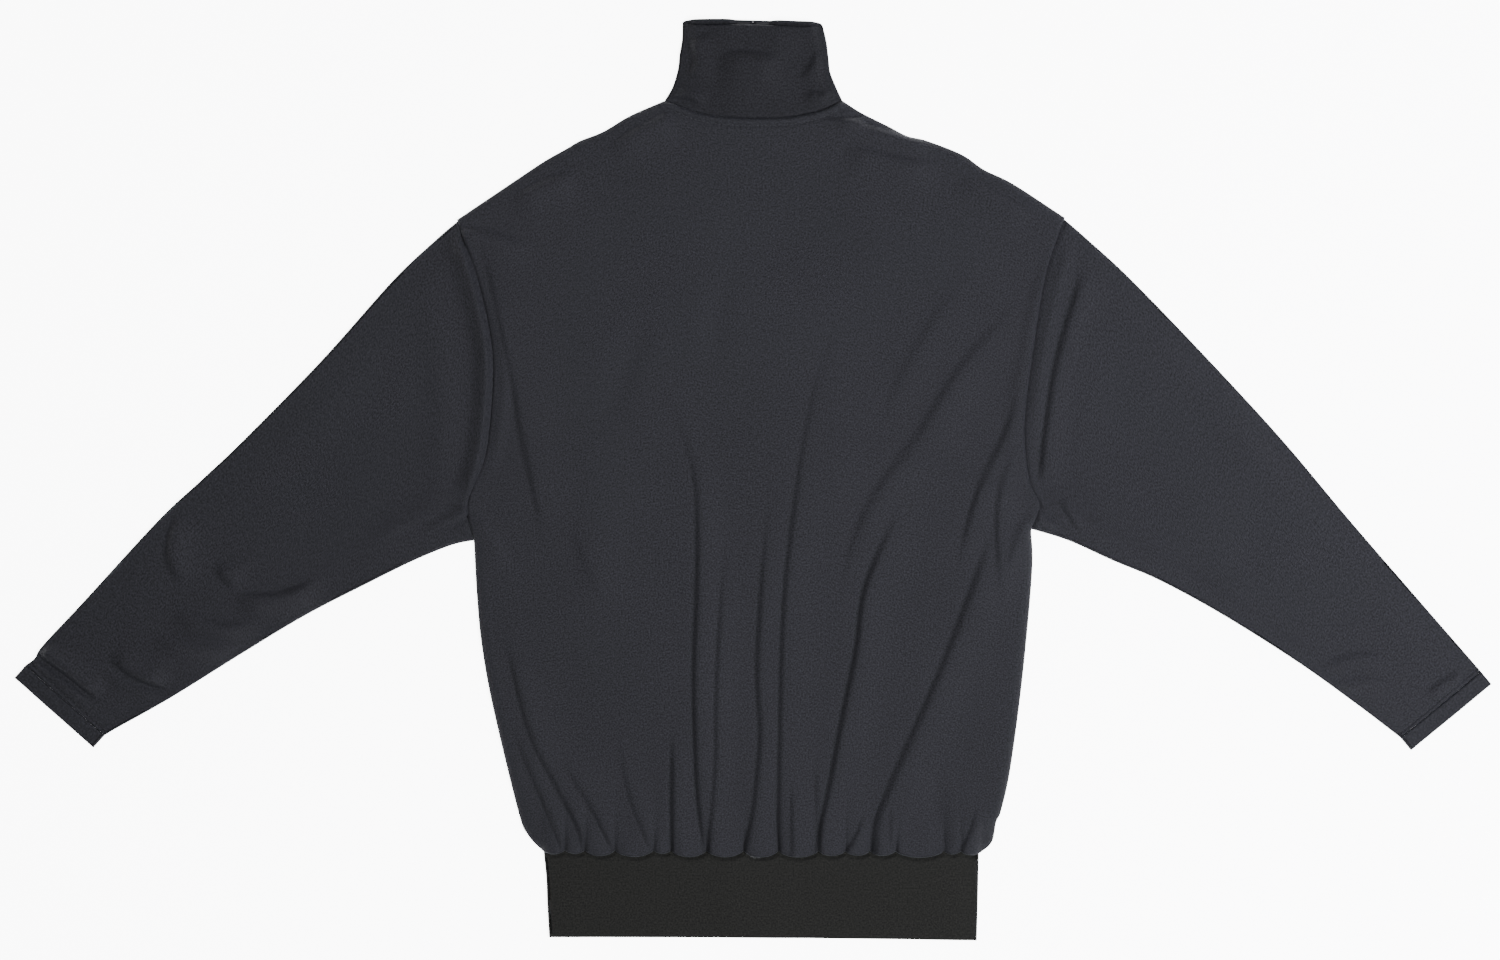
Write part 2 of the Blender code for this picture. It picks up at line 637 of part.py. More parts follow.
def build_zip_chain():
    """Both tapes, the closed chain between them and the box at its lower end."""
    stations = zip_stations()
    tape_end = (FRONT_COLLAR_TOP_LEFT[-1][1] - TAPE_SHORT, stations[-1][1])
    tape = stations + [tape_end]
    build_strip("zip_tape_left", -TAPE_OUTER, -TAPE_INNER, tape, 0.0, TAPE, "zip_tape")
    build_strip("zip_tape_right", TAPE_INNER, TAPE_OUTER, tape, 0.0, TAPE, "zip_tape")
    box_end = ZIP_BOX_Y + ZIP_BOX[1] / 2.0
    chain = [(box_end + LAYER_GAP, stations[0][1])] + stations[1:]
    chain.append((CHAIN_END_Y, stations[-1][1]))
    low = TAPE / 2.0 - CHAIN / 2.0
    build_strip("zip_chain", -CHAIN_HALF, CHAIN_HALF, chain, low, low + CHAIN, "zip_teeth")
    bm = bmesh.new()
    middle = stations[0][1] + TAPE / 2.0
    turn = Matrix.Translation(mm(0.0, ZIP_BOX_Y, middle))
    size = Matrix.Diagonal((*ZIP_BOX, 1000.0)) * 0.001
    bmesh.ops.create_cube(bm, size=1.0, matrix=turn @ size)
    bmesh.ops.bevel(bm, geom=bm.edges[:], offset=ZIP_BOX_BEVEL * 0.001, segments=1, profile=0.5,
                    affect="EDGES", material=-1)
    add_object("zip_box", bm, "zip_metal", smooth=False)


def extruded_profile(profile, half_width):
    """A bmesh of a (y, z) profile, extruded along X over both half widths."""
    bm = bmesh.new()
    face = bm.faces.new([bm.verts.new(mm(-half_width, y, z)) for y, z in profile])
    grown = bmesh.ops.extrude_face_region(bm, geom=[face])
    verts = [v for v in grown["geom"] if isinstance(v, bmesh.types.BMVert)]
    bmesh.ops.translate(bm, verts=verts, vec=mm(2 * half_width, 0, 0))
    return bm


def join_with(thing, other):
    """Weld another object to this one and keep the other as a hidden guide."""
    other.hide_render = True
    other.display_type = "WIRE"
    union = thing.modifiers.new("weld", "BOOLEAN")
    union.operation = "UNION"
    union.solver = "EXACT"
    union.object = other


def add_plate(name, half_width, along, heights):
    """A block of the slider's metal between two places along Y and two heights."""
    (start, end), (low, high) = along, heights
    profile = ((start, low), (end, low), (end, high), (start, high))
    return add_object(name, extruded_profile(profile, half_width), "zip_metal",
                      smooth=False)


def build_slider():
    """The slider: two plates joined by a post, with a bridge that holds the pull."""
    chain_middle = BAND + LAYER_GAP + COLLAR_LIFT + TAPE / 2.0
    low = chain_middle - CHAIN / 2.0 - LAYER_GAP
    high = chain_middle + CHAIN / 2.0 + LAYER_GAP
    top, bottom = SLIDER_TOP_Y, SLIDER_TOP_Y - SLIDER_LENGTH
    slider = add_plate("zip_slider", SLIDER_HALF, (bottom, top), (low - SLIDER_PLATE, low))
    sunk = SLIDER_PLATE / 2.0
    join_with(slider, add_plate("slider_post", SLIDER_POST_HALF, (top - SLIDER_POST, top),
                                (low - sunk, high + sunk)))
    join_with(slider, add_plate("slider_inner_plate", SLIDER_HALF, (bottom, top),
                                (high, high + SLIDER_PLATE)))
    plate = low - SLIDER_PLATE / 2.0
    start = PULL_Y - BRIDGE_LENGTH / 2.0
    end = PULL_Y + BRIDGE_LENGTH / 2.0
    slot = BRIDGE_Z + BRIDGE_BAR
    leg = BRIDGE_LEG
    profile = ((start, plate), (start, BRIDGE_Z + leg), (start + leg, BRIDGE_Z),
               (end - leg, BRIDGE_Z), (end, BRIDGE_Z + leg), (end, plate),
               (end - leg, plate), (end - leg, slot), (start + leg, slot),
               (start + leg, plate))
    bridge = add_object("slider_bridge", extruded_profile(profile, BRIDGE_HALF),
                        "zip_metal", smooth=False)
    join_with(slider, bridge)


def build_pull():
    """The pull tab: a slotted plate on a pin that passes under the bridge."""
    bm = bmesh.new()
    half = PULL_PLATE / 2.0
    corner = PULL_CORNER
    tip = -PULL_LENGTH
    outline = [(-PULL_HALF, 0.0), (-PULL_HALF * PULL_TAPER, tip + corner)]
    for k in range(7):
        angle = pi + pi * k / 6
        outline.append((corner * cos(angle), tip + corner + corner * sin(angle)))
    outline += [(PULL_HALF * PULL_TAPER, tip + corner), (PULL_HALF, 0.0)]
    outline += [(PULL_SLOT_HALF, 0.0), (PULL_SLOT_HALF, -PULL_SLOT_LENGTH),
                (-PULL_SLOT_HALF, -PULL_SLOT_LENGTH), (-PULL_SLOT_HALF, 0.0)]
    face = bm.faces.new([bm.verts.new(mm(x, y, -half)) for x, y in outline])
    grown = bmesh.ops.extrude_face_region(bm, geom=[face])
    verts = [v for v in grown["geom"] if isinstance(v, bmesh.types.BMVert)]
    bmesh.ops.translate(bm, verts=verts, vec=mm(0, 0, PULL_PLATE))
    pull = add_object("zip_pull", bm, "zip_metal", smooth=False)
    bm = bmesh.new()
    reach = 2.0 * (PULL_HALF - PIN_INSET)
    turn = Matrix.Rotation(pi / 2.0, 4, "Y")
    bmesh.ops.create_cone(bm, cap_ends=True, segments=12, radius1=PULL_PIN * 0.001,
                          radius2=PULL_PIN * 0.001, depth=reach * 0.001, matrix=turn)
    pin = add_object("pull_pin", bm, "zip_metal", smooth=False)
    for thing in (pull, pin):
        thing.location = mm(0.0, PULL_Y, PULL_Z)
    join_with(pull, pin)


def main():
    """Clear the scene and build the jacket."""
    for thing in list(bpy.data.objects):
        bpy.data.objects.remove(thing, do_unlink=True)
    build_fronts()
    build_zip_chain()
    build_slider()
    build_pull()
    build_back()
    build_sleeve("left", Seams.armhole_left, OUTER_LEFT, UNDER_LEFT, CUFF_EDGE_LEFT,
                 -SEAM_GAP)
    build_sleeve("right", Seams.armhole_right, OUTER_RIGHT, UNDER_RIGHT, CUFF_EDGE_RIGHT,
                 SEAM_GAP)
    build_waistband()
    build_collar()


main()
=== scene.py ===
"""Looks of a track jacket that lies on its front, back up, on a pale floor."""
import logging
from dataclasses import dataclass
from enum import Enum
from math import cos, pi, radians, sin
from typing import Any, Callable

import bmesh
import bpy
import numpy as np
from mathutils import Matrix, Vector, noise


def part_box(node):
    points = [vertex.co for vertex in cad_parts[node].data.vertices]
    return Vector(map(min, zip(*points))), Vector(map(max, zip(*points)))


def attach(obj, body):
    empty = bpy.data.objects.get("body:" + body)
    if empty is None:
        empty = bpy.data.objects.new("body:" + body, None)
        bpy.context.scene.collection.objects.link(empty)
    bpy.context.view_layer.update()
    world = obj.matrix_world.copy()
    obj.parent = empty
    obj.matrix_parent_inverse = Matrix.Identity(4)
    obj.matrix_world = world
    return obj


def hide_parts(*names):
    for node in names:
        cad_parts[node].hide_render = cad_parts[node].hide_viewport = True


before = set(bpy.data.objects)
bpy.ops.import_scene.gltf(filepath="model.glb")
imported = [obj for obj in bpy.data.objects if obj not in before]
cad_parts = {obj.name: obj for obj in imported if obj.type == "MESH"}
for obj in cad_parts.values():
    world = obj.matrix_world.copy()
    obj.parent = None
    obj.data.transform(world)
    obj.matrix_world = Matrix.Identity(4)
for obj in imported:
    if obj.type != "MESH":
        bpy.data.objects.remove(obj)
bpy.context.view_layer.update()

LOG = logging.getLogger("track_jacket")
MM = 0.001
FAR = 1e9                         # farther than any point, mm
REST_GAP = 0.12                   # from the floor to a layer that lies on it, mm
BAND_GAP = 0.05                   # the same under the doubled bands, mm
FOLD_TOP = 4.4                    # height of the folded edges of sleeves and bands, mm
SLIDER_LIFT = 2.65                # room for the slider under the collar, mm
JERSEY_WALL = 1.2                 # thickness of the body's cloth, mm
BAND_WALL = 1.8                   # thickness of the doubled bands, mm
SPAN_STEPS = 24                   # points to each span of a line
NOSE_ANGLES = tuple(-90.0 + 22.5 * k for k in range(9))  # round a folded edge, degrees
Knots = tuple[tuple[float, float], ...]
Array = np.ndarray

# --- sewing lines, in millimetres on the floor's plane -----------------------------------

NECK_LEFT = (-84.0, 360.0)
NECK_RIGHT = (85.0, 360.0)
TIP_LEFT = (-281.0, 247.0)
TIP_RIGHT = (296.0, 249.0)
PIT_LEFT = (-265.0, -57.0)
PIT_RIGHT = (264.0, -46.0)
WAIST_Y = -354.0
WAIST_LEFT = (-200.0, -351.0)
WAIST_RIGHT = (217.0, -352.2)
ZIP_HALF = 4.8
NECK_FRONT_Y = 322.0
COLLAR_FRONT_Y = 322.4
HEM_LEFT = (-193.5, -434.0)
HEM_RIGHT = (212.5, -437.0)


class Path:
    """A dense plan line with its length, read at any fraction of it."""

    def __init__(self, points: Array) -> None:
        """Keep the points and measure the line."""
        self.points = np.asarray(points, dtype=float)
        steps = np.linalg.norm(np.diff(self.points, axis=0), axis=1)
        self.reach = np.concatenate([[0.0], np.cumsum(steps)])
        self.length = float(self.reach[-1])

    @classmethod
    def through(cls, *knots: tuple[float, float]) -> "Path":
        """A smooth line through the knots.

        Args:
            knots: plan points in order.
        Returns:
            The line, with SPAN_STEPS points to each span.
        """
        p = np.asarray(knots, dtype=float)
        if len(p) == 2:
            return cls(p[0] + (p[1] - p[0]) * np.linspace(0.0, 1.0, SPAN_STEPS + 1)[:, None])
        p = np.vstack([2 * p[0] - p[1], p, 2 * p[-1] - p[-2]])
        t = np.linspace(0.0, 1.0, SPAN_STEPS, endpoint=False)[:, None]
        spans = []
        for a, b, c, d in zip(p, p[1:], p[2:], p[3:]):
            spans.append(0.5 * (2 * b + (c - a) * t + (2 * a - 5 * b + 4 * c - d) * t ** 2
                                + (3 * b - a - 3 * c + d) * t ** 3))
        return cls(np.vstack(spans + [p[-2:-1]]))

    def then(self, other: "Path") -> "Path":
        """This line followed by another that starts where it ends."""
        return Path(np.vstack([self.points, other.points[1:]]))

    def turned(self) -> "Path":
        """The same line from its other end."""
        return Path(self.points[::-1])

    def shifted(self, x: float, y: float) -> "Path":
        """The line moved by (x, y)."""
        return Path(self.points + np.array([x, y]))

    def at(self, t: Array) -> Array:
        """Points at fractions t of the length, with a last axis of x and y."""
        goal = np.clip(t, 0.0, 1.0) * self.length
        return np.stack([np.interp(goal, self.reach, self.points[:, k]) for k in (0, 1)], -1)

    def nearest(self, xy: Array, pieces: int = 28) -> tuple[Array, Array]:
        """Where plan points lie beside the line.

        Args:
            xy: points, with a last axis of x and y.
            pieces: straight pieces that stand for the line.
        Returns:
            The distance, positive on the line's left, and the fraction along it.
        """
        line = self.at(np.linspace(0.0, 1.0, pieces + 1))
        best = np.full(xy.shape[:-1], FAR)
        along = np.zeros(xy.shape[:-1])
        for k in range(pieces):
            a, d = line[k], line[k + 1] - line[k]
            rel = xy - a
            t = np.clip(rel @ d / (d @ d), 0.0, 1.0)
            off = rel - t[..., None] * d
            gap = np.hypot(off[..., 0], off[..., 1])
            side = np.sign(d[0] * rel[..., 1] - d[1] * rel[..., 0])
            closer = gap < np.abs(best)
            best = np.where(closer, np.where(side < 0, -gap, gap), best)
            along = np.where(closer, (k + t) / pieces, along)
        return best, along


def ease(low: float, high: float, value: Array) -> Array:
    """Smooth step from 0 at low to 1 at high."""
    t = np.clip((value - low) / (high - low), 0.0, 1.0)
    return t * t * (3.0 - 2.0 * t)


def rounded(distance: Array, radius: float) -> Array:
    """Quarter circle: 0 at no distance and 1 from one radius on."""
    t = 1.0 - np.clip(np.abs(distance) / radius, 0.0, 1.0)
    return np.sqrt(np.maximum(1.0 - t * t, 0.0))


def gap_to(seams: tuple[Path, ...], xy: Array, pieces: int = 28) -> Array:
    """Plan distance from points to the nearest of some seams, mm."""
    return np.min([np.abs(seam.nearest(xy, pieces)[0]) for seam in seams], axis=0)


def crowded(count: int, density: Callable[[Array], Array]) -> Array:
    """Shares from 0 to 1 that stand closer where a density is high.

    Args:
        count: number of steps between them.
        density: gives the density at shares from 0 to 1.
    Returns:
        The count + 1 shares.
    """
    fine = np.linspace(0.0, 1.0, 2001)
    total = np.concatenate([[0.0], np.cumsum(density(fine)[1:])])
    return np.interp(np.linspace(0.0, 1.0, count + 1), total / total[-1], fine)


def undulation(xy: Array, size: float, seed: float) -> Array:
    """Slow, uneven swelling of cloth, about -1 to 1.

    Args:
        xy: plan points.
        size: width of one swell, mm.
        seed: a different number gives a different pattern.
    Returns:
        One value for each point.
    """
    flat = xy.reshape(-1, 2) / size
    values = [noise.noise(Vector((x, y, seed))) for x, y in flat]
    return np.array(values).reshape(xy.shape[:-1]) * 1.6


BACK_NECK = Path.through(NECK_LEFT, (-50.5, 348.0), (-22.0, 344.3), (7.0, 343.4),
                         (35.0, 344.6), (63.5, 350.5), NECK_RIGHT)
SHOULDER_LEFT = Path.through(TIP_LEFT, (-226.0, 284.0), (-199.0, 302.0), (-177.0, 314.5),
                             (-164.0, 322.0), (-142.5, 330.5), (-117.0, 345.5), NECK_LEFT)
SHOULDER_RIGHT = Path.through(NECK_RIGHT, (103.0, 348.5), (128.0, 336.0), (146.5, 326.5),
                              (165.0, 322.0), (198.0, 309.0), (219.5, 294.5), (247.0, 281.0),
                              TIP_RIGHT)
ARMHOLE_LEFT = Path.through(TIP_LEFT, (-261.0, 188.0), (-249.0, 135.0), (-247.0, 90.0),
                            (-254.0, 25.0), (-271.0, -22.0), PIT_LEFT)
ARMHOLE_RIGHT = Path.through(TIP_RIGHT, (278.0, 196.0), (266.0, 124.0), (257.5, 52.0),
                             (262.0, 0.0), (272.0, -24.0), PIT_RIGHT)
SIDE_LEFT = Path.through(PIT_LEFT, (-262.0, -111.0), (-257.5, -157.0), (-247.0, -215.0),
                         (-223.0, -314.0), (-213.5, -337.0), WAIST_LEFT)
SIDE_RIGHT = Path.through(PIT_RIGHT, (265.0, -87.0), (256.0, -186.0), (244.5, -273.0),
                          (235.5, -314.0), (231.0, -324.0), (227.0, -343.0), WAIST_RIGHT)
FRONT_NECK_LEFT = Path.through(NECK_LEFT, (-66.0, 340.0), (-38.0, 326.0),
                               (-ZIP_HALF, NECK_FRONT_Y))
FRONT_NECK_RIGHT = Path.through((ZIP_HALF, NECK_FRONT_Y), (38.0, 326.0), (67.0, 340.0),
                                NECK_RIGHT)
OUTER_LEFT = Path.through(TIP_LEFT, (-303.0, 228.0), (-343.0, 190.0), (-410.5, 114.0),
                          (-484.5, 38.0), (-524.5, 0.0), (-565.0, -38.0), (-634.5, -114.0),
                          (-674.0, -156.5), (-682.0, -169.0), (-690.6, -175.8))
UNDER_LEFT = Path.through(PIT_LEFT, (-288.0, -62.0), (-322.5, -76.0), (-366.0, -97.5),
                          (-425.0, -128.0), (-483.0, -163.0), (-552.5, -206.5),
                          (-603.0, -235.0), (-615.6, -242.5))
OUTER_RIGHT = Path.through(TIP_RIGHT, (320.0, 228.0), (361.0, 190.0), (434.0, 114.0),
                           (503.5, 38.0), (567.0, -38.0), (632.5, -114.0), (691.0, -181.5))
UNDER_RIGHT = Path.through(PIT_RIGHT, (301.0, -57.5), (343.0, -76.5), (388.5, -96.0),
                           (448.5, -129.0), (518.5, -173.5), (574.0, -213.5),
                           (614.5, -244.5))


class Coons:
    """A plan surface stretched between four lines."""

    def __init__(self, bottom: Path, top: Path, left: Path, right: Path) -> None:
        """Keep the lines: bottom and top run across, left and right run up."""
        self.bottom, self.top, self.left, self.right = bottom, top, left, right

    def at(self, u: Array, v: Array) -> Array:
        """Plan points at fractions u across and v up, arrays of one shape."""
        u, v = np.broadcast_arrays(u, v)
        p, q = u[..., None], v[..., None]
        b0, b1 = self.bottom.at(np.array([0.0, 1.0]))
        t0, t1 = self.top.at(np.array([0.0, 1.0]))
        corners = (1 - q) * ((1 - p) * b0 + p * b1) + q * ((1 - p) * t0 + p * t1)
        across = (1 - p) * self.left.at(v) + p * self.right.at(v)
        along = (1 - q) * self.bottom.at(u) + q * self.top.at(u)
        return across + along - corners


@dataclass(frozen=True)
class Fold:
    """A crease along a plan line with the swell of cloth beside it.

    Attributes:
        swell: rise of the swell, mm; negative for a trough.
        left: fall-off of the swell on the left of its crest, mm.
        right: fall-off on the right of its crest, mm.
        knots: the line, from its start.
        crease: depth of the narrow crease on the line, mm.
        crest: plan distance from the line to the swell's crest, positive on the left, mm.
        half: half width of the crease, mm.
        grow: share of the length over which the fold deepens at the start.
        fade: share of the length over which it dies at the end.
    """

    swell: float
    left: float
    right: float
    knots: Knots
    crease: float = 0.0
    crest: float = 0.0
    half: float = 1.9
    grow: float = 0.35
    fade: float = 0.0

    def relief(self, xy: Array) -> Array:
        """Height added at plan points."""
        result = np.zeros(xy.shape[:-1])
        line = Path.through(*self.knots)
        reach = 3.0 * max(self.left, self.right)
        low, high = line.points.min(0) - reach, line.points.max(0) + reach
        near = np.all((xy > low) & (xy < high), axis=-1)
        if not near.any():
            return result
        away, along = line.nearest(xy[near])
        width = np.where(away > self.crest, self.left, self.right)
        shape = self.swell * np.exp(-((away - self.crest) / width) ** 2)
        shape -= self.crease * np.exp(-np.abs(away) / self.half)
        if self.grow:
            shape *= ease(-0.1 * self.grow, self.grow, along)
        if self.fade:
            shape *= 1.0 - ease(1.0 - self.fade, 1.0, along)
        result[near] = shape
        return result


def relief(folds: tuple[Fold, ...], xy: Array) -> Array:
    """All folds together at plan points."""
    total = np.zeros(xy.shape[:-1])
    for fold in folds:
        total += fold.relief(xy)
    return total


# --- the cloth's folds ------------------------------------------------------------------------
# Those of the back run from their top to the waist: left is towards +X, right towards -X.

BACK_FOLDS = (
    # pleats that run up from the gathers
    Fold(3.7, 17.0, 4.5, ((-87, 92), (-67, 38), (-56, -10), (-55.3, -98.5), (-58.1, -185.7),
         (-55.3, -287.6), (-47.5, -352)), 1.6, 5.5, 1.9, 0.45),
    Fold(2.5, 14.0, 4.0, ((-28.9, -60), (-36.3, -185.7), (-37.7, -272.7), (-44, -352)), 1.2,
         5.0, 1.9, 0.3),
    Fold(3.0, 14.0, 4.5, ((14.7, -10), (5.9, -98.5), (1.7, -185.7), (4.6, -243.9),
         (-2.7, -316.6), (-11, -352)), 1.4, 5.5, 1.9, 0.35),
    Fold(3.3, 24.0, 4.5, ((86, 160), (63, 108), (49, 52), (40, -4.0), (28.5, -98.5),
         (24.8, -171.2), (23.4, -243.9), (21.5, -352)), 1.5, 5.5, 1.9, 0.55),
    Fold(2.9, 24.0, 7.0, ((255, 180), (193, 108), (154, 45), (119, -2.0), (95, -49),
         (82, -98.5), (77, -130)), 0.9, 8.0, 2.6, 0.25, 0.3),
    Fold(1.9, 22.0, 8.0, ((195, 192), (161, 143), (133, 91), (115, 40)), 0.5, 8.0, 3.0, 0.3,
         0.4),
    Fold(4.4, 22.0, 4.8, ((139, -20), (104.8, -98.5), (96.1, -156.8), (87.4, -200.3),
         (78.7, -243.9), (70, -290.4), (61.2, -331.2), (58.4, -352)), 1.8, 6.0, 2.0, 0.2),
    Fold(3.4, 22.0, 5.0, ((253, 90), (235.7, 44), (212.5, -5.4), (197.9, -54.9), (191, -90)),
         1.3, 6.0, 2.1, 0.3, 0.3),
    Fold(2.8, 14.0, 5.0, ((249, 40), (231.8, -8.4), (228.9, -54.9), (234.6, -127.3)), 1.2, 6.0,
         2.1, 0.3, 0.4),
    Fold(4.0, 26.0, 6.5, ((227, -40), (203.9, -104.3), (186.2, -150.9), (166.1, -200.3),
         (142.8, -252.7), (125.3, -293.4), (113.7, -325.3), (112, -352)), 1.8, 8.0, 2.1, 0.2),
    Fold(2.9, 26.0, 5.5, ((-261, 226), (-249, 180), (-234, 113), (-223.5, 48), (-214, 4.0),
         (-207, -28.5), (-199, -68)), 1.1, 6.5, 2.2, 0.2, 0.25),
    Fold(1.6, 22.0, 8.0, ((-179, -30), (-159, -90), (-133, -122)), 0.4, 8.0, 3.0, 0.4, 0.4),
    Fold(3.4, 18.0, 4.5, ((-237, -150), (-214.3, -237.7), (-191.3, -286), (-168.3, -329.7),
         (-162.5, -352)), 1.5, 5.5, 1.9, 0.25),
    Fold(2.5, 12.0, 4.0, ((-231, -235), (-205.1, -295.3), (-181.5, -352)), 1.2, 5.0, 1.9, 0.35),
    Fold(2.7, 16.0, 4.0, ((-185, -265), (-156.7, -309.1), (-134, -352)), 1.3, 5.0, 1.9, 0.35),
    Fold(3.4, 14.0, 4.5, ((-78.4, -240), (-79, -295.3), (-79.5, -352)), 1.8, 5.5, 1.9, 0.35),
    Fold(2.0, 14.0, 5.0, ((-131, -235), (-119, -300), (-98, -352)), 0.9, 5.5, 1.9, 0.6),
    Fold(1.8, 10.0, 3.5, ((35, -285), (35, -325), (35.5, -352)), 1.2, 4.5, 1.7, 0.35),
    Fold(1.4, 8.0, 3.5, ((58.5, -265), (58.5, -325), (58.8, -352)), 1.0, 4.5, 1.7, 0.35),
    Fold(2.2, 10.0, 4.0, ((105, -315), (94, -340), (85, -353)), 1.6, 4.5, 1.8, 0.35),
    Fold(2.0, 10.0, 4.0, ((130, -308), (129, -335), (131.5, -353)), 1.4, 4.5, 1.8, 0.35),
    Fold(1.8, 10.0, 4.0, ((212, -310), (203, -336), (193.5, -353)), 1.4, 4.5, 1.8, 0.35),
    Fold(-1.8, 9.0, 9.0, ((176, -270), (174, -310), (180, -348)), grow=0.5),
    # broad, soft swells of the upper back
    Fold(1.4, 26.0, 22.0, ((-150, 60), (-146, -60), (-150, -190)), grow=0.5, fade=0.5),
    Fold(-1.6, 12.0, 14.0, ((-100, 165), (-117, 115), (-140, 50)), grow=0.4, fade=0.5),
    Fold(-1.2, 12.0, 12.0, ((-22, 208), (-36, 140), (-40, 90)), grow=0.4, fade=0.5),
    Fold(1.6, 24.0, 24.0, ((92, 110), (80, 20), (66, -90)), grow=0.5, fade=0.5),
    Fold(-1.4, 26.0, 26.0, ((-60, 236), (0.0, 218), (76, 238)), grow=0.5, fade=0.5),
    Fold(1.6, 22.0, 18.0, ((216, 150), (180, 70), (150, 10)), grow=0.5, fade=0.5),
    # shoulders, and the creases beside the neck and the armholes
    Fold(4.2, 6.0, 16.0, ((-142, 316), (-110, 336), (-80, 351)), 1.2, -7.0, 2.2, 0.4, 0.1),
    Fold(4.2, 6.0, 16.0, ((-232, 268), (-198, 286), (-166, 296)), 1.2, -7.0, 2.2, 0.3, 0.3),
    Fold(4.0, 5.5, 16.0, ((-279, 241), (-249, 237.5), (-227, 230), (-202, 224)), 1.8, -6.5, 2.2,
         0.1, 0.5),
    Fold(3.2, 5.5, 14.0, ((82, 350), (112, 337), (147, 329), (182, 317)), 1.0, -6.5, 2.2, 0.15,
         0.3),
    Fold(3.6, 6.0, 18.0, ((90, 323), (136, 309), (184, 301)), 1.0, -8.0, 2.4, 0.25, 0.35),
    Fold(2.8, 5.0, 14.0, ((198, 293), (233, 272), (270, 252)), 0.8, -6.0, 2.2, 0.3, 0.3),
    Fold(2.4, 3.2, 7.0, ((66, 345.5), (86, 344), (108, 346)), 2.8, -4.0, 1.6, 0.3, 0.2),
    Fold(2.0, 8.0, 7.0, ((289, 222), (270, 172), (256, 104), (247, 50), (248, 0.0)), grow=0.2,
         fade=0.4),
    Fold(2.0, 6.0, 8.0, ((-262, 204), (-242, 150), (-235, 100), (-241, 40), (-256, -14)),
         grow=0.2, fade=0.3),
    Fold(2.4, 5.0, 12.0, ((-264, -26), (-244, -50), (-224, -86)), 0.8, -5.0, 2.2, 0.3, 0.5),
    Fold(2.4, 12.0, 5.0, ((262, -26), (246, -56), (238, -96)), 0.8, 5.0, 2.2, 0.3, 0.5),
)

# Where the gathers are pinched into the waist seam, and how far the lobes between
# them hang over it.
PINCHES_X = (-200.0, -178.5, -159.5, -131.0, -94.5, -77.5, -44.0, -9.0, 24.0, 62.0, 87.5,
             111.0, 135.0, 181.0, 197.0, 217.0)
PINCH_Y = -351.0
WAIST_SLOPE = -1.2                # fall of the seam from left to right, mm
LOBE_HANG = 0.2                   # share of a lobe's width that it hangs down
LOBE_HANG_MOST = 6.5              # mm
LOBE_RISE = 3.6                   # height of a full lobe, mm
LOBE_FULL = 34.0                  # width from which a lobe is full, mm

LEFT_SLEEVE_FOLDS = (
    Fold(5.6, 3.6, 9.5, ((-283, 236), (-267, 188), (-255, 135), (-253, 90), (-260, 25),
         (-275, -20)), grow=0.08, fade=0.1),
    Fold(1.8, 16.0, 14.0, ((-316, 205), (-302, 150), (-294, 80), (-296, 10), (-304, -40)),
         grow=0.3, fade=0.3),
    Fold(4.4, 16.0, 5.5, ((-549, -30), (-557, -56), (-556, -80), (-540, -106)), 1.6, 7.0, 2.6,
         0.3, 0.35),
    Fold(3.4, 18.0, 5.5, ((-512, -78), (-506, -94), (-488, -110)), 1.0, 7.0, 2.4, 0.35, 0.4),
    Fold(4.8, 6.0, 16.0, ((-492, -104), (-451, -105), (-408, -89)), 1.5, -7.5, 2.6, 0.3, 0.35),
    Fold(3.8, 6.0, 14.0, ((-545, -116), (-507, -133), (-463, -133)), 1.2, -7.5, 2.4, 0.3, 0.4),
    Fold(3.2, 6.0, 12.0, ((-568, -142), (-520, -153), (-482, -153)), 1.0, -7.5, 2.4, 0.3, 0.4),
    Fold(5.8, 10.0, 4.2, ((-682, -166), (-655, -185), (-621, -212)), 4.4, 6.5, 3.4, 0.06, 0.25),
    Fold(2.8, 3.4, 4.6, ((-682, -166), (-655, -185), (-621, -212)), 0.0, -5.6, 2.2, 0.1, 0.3),
    Fold(5.0, 13.0, 4.4, ((-614, -171), (-587, -190), (-552, -202)), 3.6, 6.5, 3.0, 0.25, 0.35),
    Fold(1.8, 3.0, 5.0, ((-612, -174), (-587, -192), (-556, -203)), 0.0, -5.0, 2.2, 0.25, 0.35),
    Fold(1.2, 22.0, 22.0, ((-330, 160), (-420, 60), (-520, -40)), grow=0.5, fade=0.5),
    Fold(-1.4, 16.0, 18.0, ((-345, -60), (-400, -88), (-450, -128)), grow=0.5, fade=0.5),
    Fold(2.2, 5.0, 14.0, ((-286, -30), (-320, -44), (-366, -66)), 0.6, -6.0, 2.4, 0.3, 0.5),
    Fold(3.6, 4.0, 8.0, ((-266, -31), (-282, -42), (-312, -52)), 3.2, -4.5, 2.0, 0.1, 0.5),
)
